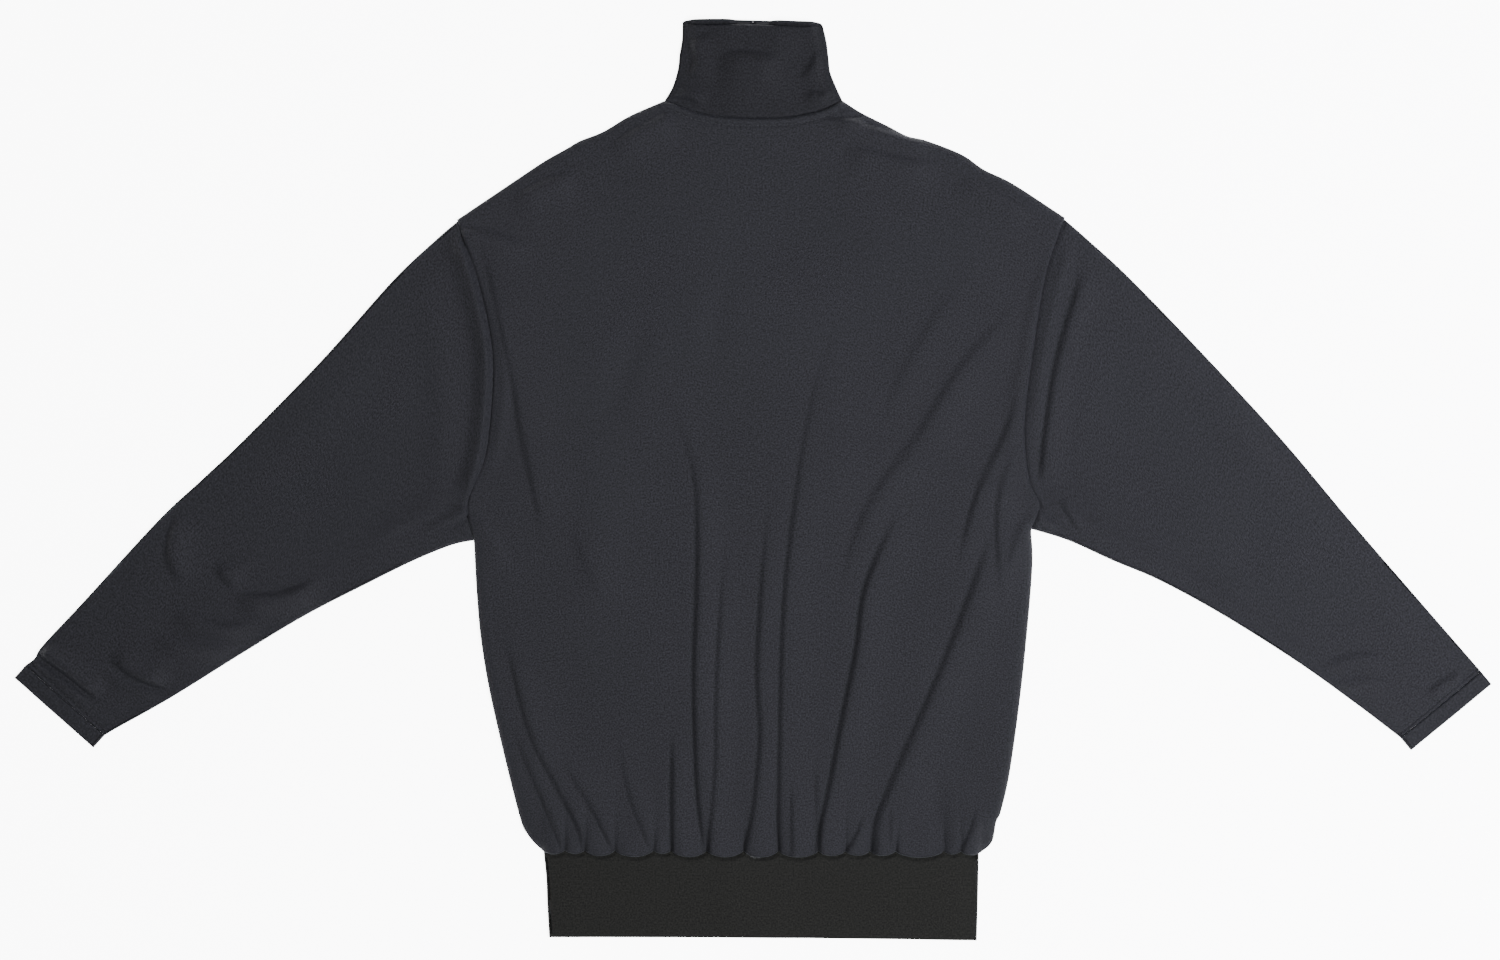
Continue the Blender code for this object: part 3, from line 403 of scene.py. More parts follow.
RIGHT_SLEEVE_FOLDS = (
    Fold(2.4, 6.0, 6.0, ((303, 232), (289, 182), (277, 124), (269, 66), (268, 10)), grow=0.15,
         fade=0.3),
    Fold(4.2, 16.0, 5.0, ((312, 204), (298, 160), (284, 108), (276, 58), (272, 24), (270, -10)),
         2.0, 6.0, 2.2, 0.15, 0.15),
    Fold(2.6, 5.0, 8.0, ((266, -18), (278, -32), (293, -43)), 3.2, -4.5, 1.8, 0.1, 0.3),
    Fold(2.4, 5.0, 5.0, ((288, -20), (299, -36), (310, -52)), 2.2, 4.5, 1.8, 0.25, 0.3),
    Fold(1.4, 20.0, 16.0, ((336, 176), (320, 100), (312, 30), (322, -30)), grow=0.4, fade=0.4),
    Fold(-1.4, 14.0, 18.0, ((372, -60), (410, -76), (460, -112)), grow=0.5, fade=0.5),
    Fold(3.2, 6.0, 14.0, ((536, -176), (571, -163), (608, -167)), 1.0, -7.0, 2.4, 0.3, 0.35),
    Fold(2.6, 6.0, 12.0, ((536, -196), (578, -185), (612, -189)), 0.9, -7.0, 2.4, 0.3, 0.4),
    Fold(2.8, 5.0, 10.0, ((636, -201), (652, -189), (672, -178)), 1.2, -6.0, 2.2, 0.25, 0.25),
    Fold(1.4, 24.0, 24.0, ((400, 120), (470, 30), (540, -60)), grow=0.5, fade=0.5),
    Fold(-1.2, 14.0, 16.0, ((520, -110), (560, -126), (600, -130)), grow=0.5, fade=0.5),
)

# The undersides rest on the floor, so their creases are lifted grooves.
FRONT_FOLDS = (
    Fold(1.6, 12.0, 4.0, ((-62, -60), (-66, -200), (-58, -352))),
    Fold(1.4, 5.0, 14.0, ((-150, -120), (-132, -240), (-112, -352))),
    Fold(1.3, 12.0, 4.0, ((-214, -180), (-186, -280), (-158, -352))),
    Fold(1.2, 16.0, 12.0, ((-196, 170), (-170, 40), (-160, -60)), grow=0.4, fade=0.5),
    Fold(1.6, 4.0, 12.0, ((60, -90), (56, -220), (52, -352))),
    Fold(1.4, 14.0, 5.0, ((140, -130), (122, -250), (104, -352))),
    Fold(1.3, 4.0, 12.0, ((226, -170), (196, -270), (160, -352))),
    Fold(1.2, 14.0, 16.0, ((210, 180), (180, 60), (168, -50)), grow=0.4, fade=0.5),
)
COLLAR_FOLDS = (
    Fold(5.6, 9.0, 18.0, ((-34, 407), (-4.0, 407), (32, 403)), 2.4, -11.0, 6.0, 0.35, 0.35),
    Fold(1.4, 12.0, 14.0, ((-36, 372), (0.0, 376), (40, 386)), grow=0.5, fade=0.5),
    Fold(4.2, 8.0, 4.0, ((-80, 359), (-64, 360), (-44, 352)), 2.2, 5.0, 2.4, 0.15, 0.5),
    Fold(3.4, 3.0, 6.0, ((82, 366.5), (73, 370.5), (60, 368)), 2.6, 4.0, 1.6, 0.2, 0.5),
    Fold(4.4, 14.0, 6.0, ((-64, 416), (-58, 400), (-64, 382)), 1.2, 7.0, 3.0, 0.25, 0.3),
    Fold(2.6, 14.0, 5.0, ((58, 410), (52, 394), (40, 380)), 0.8, 6.0, 2.2, 0.35, 0.4),
    Fold(2.8, 5.0, 8.0, ((46, 366), (60, 369), (76, 363)), 0.9, -5.0, 2.0, 0.35, 0.3),
)


# --- finishes -----------------------------------------------------------------------------------


class Wire:
    """A shader socket that takes part in Python expressions."""

    def __init__(self, maker: "Dyer", socket: Any) -> None:
        """Keep the socket and the maker of its nodes."""
        self.maker, self.socket = maker, socket

    def _math(self, operation: str, *values: Any) -> "Wire":
        """One Math node on this socket and other values."""
        return self.maker.node("ShaderNodeMath", {"operation": operation},
                               dict(enumerate(values)))

    def __add__(self, other: Any) -> "Wire":
        """Sum."""
        return self._math("ADD", self, other)

    __radd__ = __add__

    def __sub__(self, other: Any) -> "Wire":
        """Difference."""
        return self._math("SUBTRACT", self, other)

    def __rsub__(self, other: Any) -> "Wire":
        """Difference from a number."""
        return self._math("SUBTRACT", other, self)

    def __mul__(self, other: Any) -> "Wire":
        """Product."""
        return self._math("MULTIPLY", self, other)

    __rmul__ = __mul__

    def wave(self) -> "Wire":
        """Sine of the value."""
        return self._math("SINE", self)

    def size(self) -> "Wire":
        """Absolute value."""
        return self._math("ABSOLUTE", self)

    def floor(self) -> "Wire":
        """Whole part of the value."""
        return self._math("FLOOR", self)


class Dyer:
    """Builds one material's nodes."""

    def __init__(self, name: str) -> None:
        """Start a material with its Principled shader."""
        self.material = bpy.data.materials.new(name)
        self.material.use_nodes = True
        self.tree = self.material.node_tree
        self.shader = self.tree.nodes["Principled BSDF"]

    def node(self, kind: str, settings: dict[str, Any] | None = None,
             values: dict[Any, Any] | None = None, output: int | str = 0) -> Wire:
        """Add a node.

        Args:
            kind: its type.
            settings: properties, set first.
            values: numbers, colours or wires for its sockets.
            output: the socket to read.
        Returns:
            The output as a wire.
        """
        made = self.tree.nodes.new(kind)
        for key, value in (settings or {}).items():
            setattr(made, key, value)
        for key, value in (values or {}).items():
            self.feed(made.inputs[key], value)
        return Wire(self, made.outputs[output])

    def feed(self, socket: Any, value: Any) -> None:
        """Link a wire to a socket, or set its value."""
        if isinstance(value, Wire):
            self.tree.links.new(value.socket, socket)
        else:
            socket.default_value = value

    def set(self, **values: Any) -> None:
        """Feed the shader's sockets; underscores stand for spaces."""
        for key, value in values.items():
            self.feed(self.shader.inputs[key.replace("_", " ")], value)

    def mottle(self, where: Wire, scale: float, detail: float = 2.0) -> Wire:
        """Noise about 0 to 1 at a place."""
        values = {"Vector": where, "Scale": scale, "Detail": detail}
        return self.node("ShaderNodeTexNoise", {}, values)

    def tint(self, low: tuple[float, ...], high: tuple[float, ...], share: Wire) -> Wire:
        """A colour between two colours."""
        return self.node("ShaderNodeMix", {"data_type": "RGBA"},
                         {"Factor": share, 6: (*low, 1.0), 7: (*high, 1.0)}, 2)


@dataclass(frozen=True)
class KnitFinish:
    """A fine knit whose wales run along V of the piece's own map, in metres.

    Attributes:
        name: material name.
        dark: colour in the hollows of the mottling.
        light: colour on its crests.
        wale: width of one wale, m.
        course: height of one course, m.
        relief: depth of the knit, m.
        sheen: strength of the fibres' sheen.
        roughness: middle roughness.
        painted_hem_shade: painted shade, how much the colour darkens from the chest down to the
            hem.
        hem: Y where the painted shade is darkest, m.
        chest: Y from which no shade is painted, m.
    """

    name: str
    dark: tuple[float, float, float]
    light: tuple[float, float, float]
    wale: float = 0.0009
    course: float = 0.0011
    relief: float = 0.00012
    sheen: float = 0.04
    roughness: float = 0.8
    painted_hem_shade: float = 0.0
    hem: float = -0.34
    chest: float = 0.12

    def material(self) -> bpy.types.Material:
        """Build the knit's nodes."""
        dyer = Dyer(self.name)
        where = dyer.node("ShaderNodeUVMap", {"uv_map": "cloth"})
        across = dyer.node("ShaderNodeSeparateXYZ", {}, {0: where})
        along = Wire(dyer, across.socket.node.outputs[1])
        wales = (across * (pi / self.wale)).wave().size()
        row = (across * (1.0 / self.wale)).floor() * 0.5
        loops = ((along * (1.0 / self.course) + row) * (2 * pi)).wave()
        fleck = dyer.mottle(where, 620.0, 1.0)
        slub = dyer.mottle(where, 260.0, 2.0)
        cloud = dyer.mottle(where, 9.0, 3.0)
        height = wales + loops * 0.35 + fleck * 1.2 + slub * 0.8
        shade = fleck * 1.9 + slub * 0.4 + cloud * 0.15 + wales * 0.1 - 0.83
        # Painted shade: the base colour darkens from the chest down to the hem, standing in for
        # the shade among the gathers.
        if self.painted_hem_shade:
            place = dyer.node("ShaderNodeTexCoord", {}, {}, "Object")
            up = dyer.node("ShaderNodeSeparateXYZ", {}, {0: place}, 1)
            down = dyer.node("ShaderNodeMapRange", {}, {
                "Value": up, "From Min": self.hem, "From Max": self.chest, "To Min": 1.0,
                "To Max": 0.0})
            shade = shade - down * self.painted_hem_shade
        bump = dyer.node("ShaderNodeBump", {}, {"Strength": 0.7, "Distance": self.relief,
                                                "Height": height})
        dyer.set(Base_Color=dyer.tint(self.dark, self.light, shade),
                 Roughness=slub * 0.12 + (self.roughness - 0.06), Normal=bump,
                 Sheen_Weight=self.sheen, Sheen_Roughness=0.45,
                 Sheen_Tint=(0.85, 0.9, 1.0, 1.0), Specular_IOR_Level=0.12)
        return dyer.material


@dataclass(frozen=True)
class PlainFinish:
    """Thread, tape, plastic or metal with a fine grain on Object coordinates.

    Attributes:
        name: material name.
        dark: colour in the grain.
        light: colour between it.
        grain: grains to the metre.
        relief: depth of the grain, m.
        roughness: middle roughness.
        metallic: 1 for metal.
    """

    name: str
    dark: tuple[float, float, float]
    light: tuple[float, float, float]
    grain: float = 1500.0
    relief: float = 0.00004
    roughness: float = 0.6
    metallic: float = 0.0

    def material(self) -> bpy.types.Material:
        """Build the finish's nodes."""
        dyer = Dyer(self.name)
        where = dyer.node("ShaderNodeTexCoord", {}, {}, "Object")
        grain = dyer.mottle(where, self.grain)
        wear = dyer.mottle(where, self.grain / 12.0, 3.0)
        bump = dyer.node("ShaderNodeBump", {}, {"Strength": 0.5, "Distance": self.relief,
                                                "Height": grain})
        dyer.set(Base_Color=dyer.tint(self.dark, self.light, grain * 0.5 + wear * 0.5),
                 Roughness=wear * 0.2 + (self.roughness - 0.1), Normal=bump,
                 Metallic=self.metallic, Specular_IOR_Level=0.3)
        return dyer.material


class Slot(Enum):
    """The record's material slots."""

    JERSEY = "jersey"
    BAND = "band_knit"
    TAPE = "zip_tape"
    TEETH = "zip_teeth"
    METAL = "zip_metal"


class Finishes:
    """Every finish of the jacket, built once."""

    def __init__(self) -> None:
        """Build the materials."""
        # The jersey's colour is painted darker towards the hem, as shade.
        self.jersey = KnitFinish("charcoal_tricot", (0.0052, 0.0052, 0.0062),
                                 (0.0187, 0.0186, 0.0222), painted_hem_shade=0.10).material()
        self.band = KnitFinish("warm_black_rib", (0.0032, 0.0032, 0.0028),
                               (0.0121, 0.0120, 0.0105), wale=0.0008, relief=0.00009,
                               sheen=0.02, roughness=0.88).material()
        # Painted shade: the collar takes a darker copy of the jersey, standing in for the shade
        # that lies on it.
        self.stand = KnitFinish("charcoal_tricot_painted_shade", (0.0036, 0.0036, 0.0044),
                                (0.0138, 0.0138, 0.0163)).material()
        self.thread = PlainFinish("black_thread", (0.006, 0.006, 0.007),
                                  (0.022, 0.022, 0.025), roughness=0.7).material()
        self.tape = PlainFinish("woven_zip_tape", (0.008, 0.008, 0.009),
                                (0.02, 0.02, 0.022), 1200.0, 0.0001, 0.85).material()
        self.teeth = PlainFinish("moulded_black", (0.006, 0.006, 0.007),
                                 (0.014, 0.014, 0.015), 700.0, 0.00002, 0.42).material()
        self.metal = PlainFinish("dark_satin_metal", (0.16, 0.16, 0.165),
                                 (0.30, 0.30, 0.31), 900.0, 0.00002, 0.38, 1.0).material()


# --- cloth making -----------------------------------------------------------------------------


def put_in_scene(name: str, data: Any) -> bpy.types.Object:
    """A new object in the scene that shows a mesh, a lamp or a camera."""
    made = bpy.data.objects.new(name, data)
    bpy.context.scene.collection.objects.link(made)
    return made


def mesh_from(bm: bmesh.types.BMesh, name: str) -> bpy.types.Mesh:
    """A mesh that takes over a bmesh."""
    mesh = bpy.data.meshes.new(name)
    bm.to_mesh(mesh)
    bm.free()
    return mesh


def settle(bm: bmesh.types.BMesh) -> None:
    """Give vertices and faces one order, since extrusion leaves it different each run."""
    ranks = {vert: rank for rank, vert in enumerate(
        sorted(bm.verts, key=lambda vert: tuple(vert.co)))}
    bm.verts.sort(key=ranks.get)
    bm.verts.index_update()
    ranks = {face: rank for rank, face in enumerate(
        sorted(bm.faces, key=lambda face: sorted(vert.index for vert in face.verts)))}
    bm.faces.sort(key=ranks.get)


def finish_piece(bm: bmesh.types.BMesh, name: str, material: bpy.types.Material,
                 slot: Slot, body: str = "jacket") -> bpy.types.Object:
    """Turn a bmesh into a dressed piece that rides on a body.

    Args:
        bm: the piece's mesh, in metres.
        name: its name.
        material: its finish.
        slot: the record's slot; not used.
        body: the body that carries it.
    Returns:
        The object.
    """
    mesh = mesh_from(bm, name)
    mesh.shade_smooth()
    mesh.materials.append(material)
    piece = put_in_scene(name, mesh)
    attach(piece, body)
    LOG.info("%s: %d faces", name, len(mesh.polygons))
    return piece


def cloth_piece(name: str, outer: Array, inner: Array, cloth: Array,
                material: bpy.types.Material, slot: Slot) -> bpy.types.Object:
    """A wall of cloth between two faces of one layout.

    Columns that meet at the first and the last place are welded into a tube.

    Args:
        name: the piece's name.
        outer: points of the outer face, (columns + 1, rows + 1, 3), mm.
        inner: points of the inner face, in the same order.
        cloth: place on the flat cloth, (columns + 1, rows + 1, 2), mm.
        material: its finish.
        slot: its slot.
    Returns:
        The object.
    """
    columns, rows = outer.shape[0] - 1, outer.shape[1] - 1
    bm = bmesh.new()
    bmesh.ops.create_grid(bm, x_segments=columns, y_segments=rows, size=1.0)
    place = bm.verts.layers.int.new("place")
    chart = bm.loops.layers.uv.new("cloth")
    flat_outer = (outer.reshape(-1, 3) * MM).tolist()
    flat_inner = (inner.reshape(-1, 3) * MM).tolist()
    flat_cloth = (cloth.reshape(-1, 2) * MM).tolist()
    for vert in bm.verts:
        column = round((vert.co.x + 1.0) * 0.5 * columns)
        row = round((vert.co.y + 1.0) * 0.5 * rows)
        vert[place] = column * (rows + 1) + row
    for face in bm.faces:
        for loop in face.loops:
            loop[chart].uv = flat_cloth[loop.vert[place]]
    for vert in bm.verts:
        vert.co = flat_outer[vert[place]]
    rim = [vert for vert in bm.verts if vert.is_boundary]
    bmesh.ops.remove_doubles(bm, verts=rim, dist=1e-6)
    grown = bmesh.ops.extrude_face_region(bm, geom=bm.faces[:])
    for vert in grown["geom"]:
        if isinstance(vert, bmesh.types.BMVert):
            vert.co = flat_inner[vert[place]]
    bmesh.ops.recalc_face_normals(bm, faces=bm.faces)
    bm.verts.layers.int.remove(place)
    settle(bm)
    return finish_piece(bm, name, material, slot)


def stitch_row(name: str, path: Path, height: Callable[[Array], Array],
               material: bpy.types.Material, slot: Slot, length: float = 2.6,
               gap: float = 1.3, width: float = 0.8) -> bpy.types.Object:
    """A row of topstitches that lies on cloth.

    Args:
        name: the row's name.
        path: its plan line.
        height: gives the cloth's upper face at plan points.
        material: the thread.
        slot: its slot.
        length: one stitch, mm.
        gap: between two stitches, mm.
        width: the thread, mm.
    Returns:
        The object.
    """
    count = int(path.length / (length + gap))
    middle = (np.arange(count) + 0.5) / count
    reach = 0.5 * length / path.length
    start, end = path.at(middle - reach), path.at(middle + reach)
    z0, z1 = height(start), height(end)
    bm = bmesh.new()
    for k in range(count):
        a = Vector((*start[k], z0[k] + width * 0.15)) * MM
        b = Vector((*end[k], z1[k] + width * 0.15)) * MM
        along = b - a
        turn = along.to_track_quat("X", "Z").to_matrix().to_4x4()
        size = Matrix.Diagonal((along.length * 0.5, width * MM * 0.5, width * MM * 0.4, 1.0))
        matrix = Matrix.Translation((a + b) * 0.5) @ turn @ size
        bmesh.ops.create_icosphere(bm, subdivisions=1, radius=1.0, matrix=matrix)
    return finish_piece(bm, name, material, slot)


def surface_height(face: Array) -> Callable[[Array], Array]:
    """A function that gives the height of a face's nearest point."""
    points = face.reshape(-1, 3)

    def height(xy: Array) -> Array:
        """Heights at plan points."""
        result = []
        for place in xy:
            gap = np.hypot(points[:, 0] - place[0], points[:, 1] - place[1])
            close = np.argsort(gap)[:4]
            weight = 1.0 / (gap[close] + 0.05)
            result.append(float((points[close, 2] * weight).sum() / weight.sum()))
        return np.array(result)

    return height


def flat_layout(columns: int, rows: int) -> tuple[Array, Array]:
    """Even shares across as a column and up as a row, for a panel's grid."""
    return (np.linspace(0.0, 1.0, columns + 1)[:, None],
            np.linspace(0.0, 1.0, rows + 1)[None, :])


def nose(height: float, wall: float, angle: float) -> tuple[float, float]:
    """A place round a folded edge.

    Args:
        height: of the folded edge, mm.
        wall: 0 on the outer face, the cloth's thickness on the inner one, mm.
        angle: from -90 at the floor to 90 at the top, degrees.
    Returns:
        How far it is in from the edge, and its height, mm.
    """
    radius = height / 2.0
    reach = radius - wall
    return radius - reach * cos(radians(angle)), radius + reach * sin(radians(angle))


def girth(face: Array) -> Array:
    """Length round a face at its middle row, from its first column, mm."""
    steps = np.linalg.norm(np.diff(face[:, face.shape[1] // 2], axis=0), axis=-1)
    return np.concatenate([[0.0], np.cumsum(steps)])


def gathers(xs: Array) -> tuple[Array, Array]:
    """Width of the lobe at each x, mm, and the share of the way across it."""
    pinches = np.array(PINCHES_X)
    k = np.clip(np.searchsorted(pinches, xs, side="right") - 1, 0, len(pinches) - 2)
    width = pinches[k + 1] - pinches[k]
    return width, np.clip((xs - pinches[k]) / width, 0.0, 1.0)


def waist_line(xs: Array) -> Array:
    """y of the back's scalloped lower edge at the given x."""
    width, share = gathers(xs)
    hang = np.minimum(width * LOBE_HANG, LOBE_HANG_MOST)
    slope = (xs - PINCHES_X[0]) / (PINCHES_X[-1] - PINCHES_X[0]) * WAIST_SLOPE
    return PINCH_Y + slope - hang * np.sin(pi * share) ** 0.6


def lobe(xs: Array) -> Array:
    """Fullness of the gathers at x: 0 at a pinch, 1 in a wide lobe's middle."""
    width, share = gathers(xs)
    return np.sin(pi * share) ** 0.7 * np.minimum(width / LOBE_FULL, 1.0)


@dataclass
class BackPanel:
    """The gathered back.

    Attributes:
        columns: divisions across.
        rows: divisions up.
        wall: thickness of the cloth, mm.
        top: upper face over most of the panel, mm.
        edge: upper face at the shoulder and side seams, mm.
        roll: width over which those seams round down, mm.
        seam_dip: depth of the groove at a sewn seam, mm.
        seam_width: half width of that groove, mm.
        neck_width: half width of the groove beside the collar, mm.
        lowest: least height over the fronts, mm.
        waist: height at the waist seam, under the band's edge, mm.
        waist_roll: width over which the lobes round down to it, mm.
        stitch: plan distance from the neck seam to its topstitching, mm.
        map_size: width and height of the panel on the knit's map, mm.
    """

    columns: int = 300
    rows: int = 160
    wall: float = JERSEY_WALL
    top: float = 6.4
    edge: float = 2.9
    roll: float = 9.0
    seam_dip: float = 1.9
    seam_width: float = 2.6
    neck_width: float = 1.3
    lowest: float = 3.5
    waist: float = 3.3
    waist_roll: float = 2.2
    stitch: float = 7.2
    map_size: tuple[float, float] = (560.0, 714.0)

    def row_places(self) -> Array:
        """Shares of the height for the rows, closer at the waist and the shoulders."""
        return crowded(self.rows, lambda v: 1.0 + 3.2 * np.exp(-v / 0.035)
                       + 5.0 * np.exp((v - 1.0) / 0.018))

    @staticmethod
    def gather(z: Array, xy: Array, above: Array) -> None:
        """Work the gathers into the upper face.

        Args:
            z: heights, changed in place.
            xy: their plan points.
            above: how far the points lie above the waist seam, mm.
        """
        z += np.exp(-(above / 34.0) ** 2) * (LOBE_RISE * lobe(xy[..., 0]) - 0.8)
        pucker = np.abs(undulation(xy * np.array([1.0, 0.18]), 9.0, 5.0))
        z += 0.35 * pucker * np.exp(-(above / 26.0) ** 2)
        for k, pinch in enumerate(PINCHES_X[1:-1]):
            lean = pinch + above * 0.08 * sin(2.4 * k)
            depth = 2.2 + 0.7 * cos(1.7 * k)
            reach = 15.0 + 8.0 * sin(3.1 * k)
            z -= depth * np.exp(-((xy[..., 0] - lean) / 1.9) ** 2) * np.exp(-above / reach)

    def height(self, xy: Array) -> Array:
        """Upper face at plan points.

        Args:
            xy: points, with a last axis of x and y.
        Returns:
            One height for each point, mm.
        """
        z = self.top + relief(BACK_FOLDS, xy)
        z += 0.45 * undulation(xy, 70.0, 3.1) + 0.14 * undulation(xy, 24.0, 8.7)
        above = xy[..., 1] - waist_line(xy[..., 0])
        self.gather(z, xy, above)
        for seam, width in ((ARMHOLE_LEFT, self.seam_width), (ARMHOLE_RIGHT, self.seam_width),
                            (BACK_NECK, self.neck_width)):
            z -= self.seam_dip * (1.0 - rounded(gap_to((seam,), xy), width))
        binding = gap_to((BACK_NECK,), xy)
        z += 1.4 * ease(0.5, 2.5, binding) * (1.0 - ease(4.8, 7.6, binding))
        z -= 1.2 * np.exp(-(binding - self.stitch) ** 2)
        edge = gap_to((SHOULDER_LEFT, SHOULDER_RIGHT, SIDE_LEFT, SIDE_RIGHT), xy, 48)
        z = self.edge + (z - self.edge) * rounded(edge, self.roll)
        z = np.maximum(z, self.lowest)
        return self.waist + (z - self.waist) * rounded(above, self.waist_roll)

    def build(self, finishes: Finishes) -> None:
        """Make the back and its neck stitching."""
        xs = np.linspace(WAIST_LEFT[0], WAIST_RIGHT[0], 900)
        lower = Path(np.stack([xs, waist_line(xs)], -1))
        left = ARMHOLE_LEFT.then(SIDE_LEFT).turned()
        right = ARMHOLE_RIGHT.then(SIDE_RIGHT).turned()
        upper = SHOULDER_LEFT.then(BACK_NECK).then(SHOULDER_RIGHT)
        patch = Coons(lower, upper, left, right)
        u = flat_layout(self.columns, self.rows)[0]
        v = self.row_places()[None, :]
        xy = patch.at(u, v)
        outer = np.concatenate([xy, self.height(xy)[..., None]], -1)
        inner = outer - np.array([0.0, 0.0, self.wall])
        cloth = np.stack(np.broadcast_arrays(u * self.map_size[0], v * self.map_size[1]), -1)
        piece = cloth_piece("back_cloth", outer, inner, cloth, finishes.jersey, Slot.JERSEY)
        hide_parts("back")
        line = Path(BACK_NECK.at(np.linspace(0.03, 0.97, 60)) - np.array([0.0, self.stitch]))
        stitch_row("neck_topstitch", line, self.height, finishes.thread, Slot.JERSEY)


@dataclass
class Front:
    """One hidden front, flat on the floor beside the zip.

    Attributes:
        side: -1 for the wearer's left, 1 for the right.
        columns: divisions across.
        rows: divisions up.
        wall: thickness of the cloth, mm.
        crease_most: most that a crease lifts the lower face, mm.
        stitch: plan distance from the zip's edge to its topstitching, mm.
        map_size: width and height of the panel on the knit's map, mm.
    """

    side: int
    columns: int = 96
    rows: int = 170
    wall: float = JERSEY_WALL
    crease_most: float = 1.7
    stitch: float = 6.0
    map_size: tuple[float, float] = (270.0, 700.0)

    def underside(self, xy: Array) -> Array:
        """Lower face at plan points: 0 where it rests, more in a crease."""
        z = np.clip(relief(FRONT_FOLDS, xy), 0.0, self.crease_most) + REST_GAP
        z += 0.1 * undulation(xy, 50.0, 12.0)
        seams = (SHOULDER_LEFT, SIDE_LEFT) if self.side < 0 else (SHOULDER_RIGHT, SIDE_RIGHT)
        z += 0.5 * (1.0 - rounded(gap_to(seams, xy, 48), 7.0))
        beside = np.abs(xy[..., 0]) - ZIP_HALF
        z += 0.3 * np.exp(-(beside - self.stitch) ** 2)
        above = xy[..., 1] - WAIST_Y
        z += 0.8 * (1.0 - rounded(above, 4.0))
        return np.maximum(z, 0.0)

    def build(self, finishes: Finishes) -> None:
        """Make the front and the stitching beside the zip."""
        left = self.side < 0
        centre_x = self.side * ZIP_HALF
        centre = Path.through((centre_x, WAIST_Y), (centre_x, NECK_FRONT_Y))
        if left:
            sides = (ARMHOLE_LEFT.then(SIDE_LEFT).turned(), centre)
            lower = Path.through((WAIST_LEFT[0], WAIST_Y), (centre_x, WAIST_Y))
            upper = SHOULDER_LEFT.then(FRONT_NECK_LEFT)
        else:
            sides = (centre, ARMHOLE_RIGHT.then(SIDE_RIGHT).turned())
            lower = Path.through((centre_x, WAIST_Y), (WAIST_RIGHT[0], WAIST_Y))
            upper = FRONT_NECK_RIGHT.then(SHOULDER_RIGHT)
        patch = Coons(lower, upper, *sides)
        u, v = flat_layout(self.columns, self.rows)
        xy = patch.at(u, v)
        outer = np.concatenate([xy, self.underside(xy)[..., None]], -1)
        inner = outer + np.array([0.0, 0.0, self.wall])
        cloth = np.stack(np.broadcast_arrays(u * self.map_size[0], v * self.map_size[1]), -1)
        name = "left" if left else "right"
        piece = cloth_piece(f"front_cloth_{name}", outer, inner, cloth, finishes.jersey,
                            Slot.JERSEY)
        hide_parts(f"front_{name}")
        x = centre_x + self.side * self.stitch
        line = Path.through((x, WAIST_Y + 2.0), (x, NECK_FRONT_Y - 4.0))
        stitch_row(f"zip_topstitch_{name}", line, lambda p: self.underside(p) - 0.15,
                   finishes.thread, Slot.JERSEY)


def ring_columns(across: int, below: int) -> list[tuple[str, float]]:
    """Places round a flattened tube: its kind, and an angle or a share across.

    Args:
        across: divisions of the upper layer.
        below: divisions of the lower layer.
    Returns:
        The places in order, the last the same as the first.
    """
    ring = [("first", a) for a in NOSE_ANGLES]
    ring += [("upper", k / across) for k in range(1, across)]
    ring += [("last", a) for a in NOSE_ANGLES[::-1]]
    ring += [("lower", 1.0 - k / below) for k in range(1, below)]
    return ring + ring[:1]


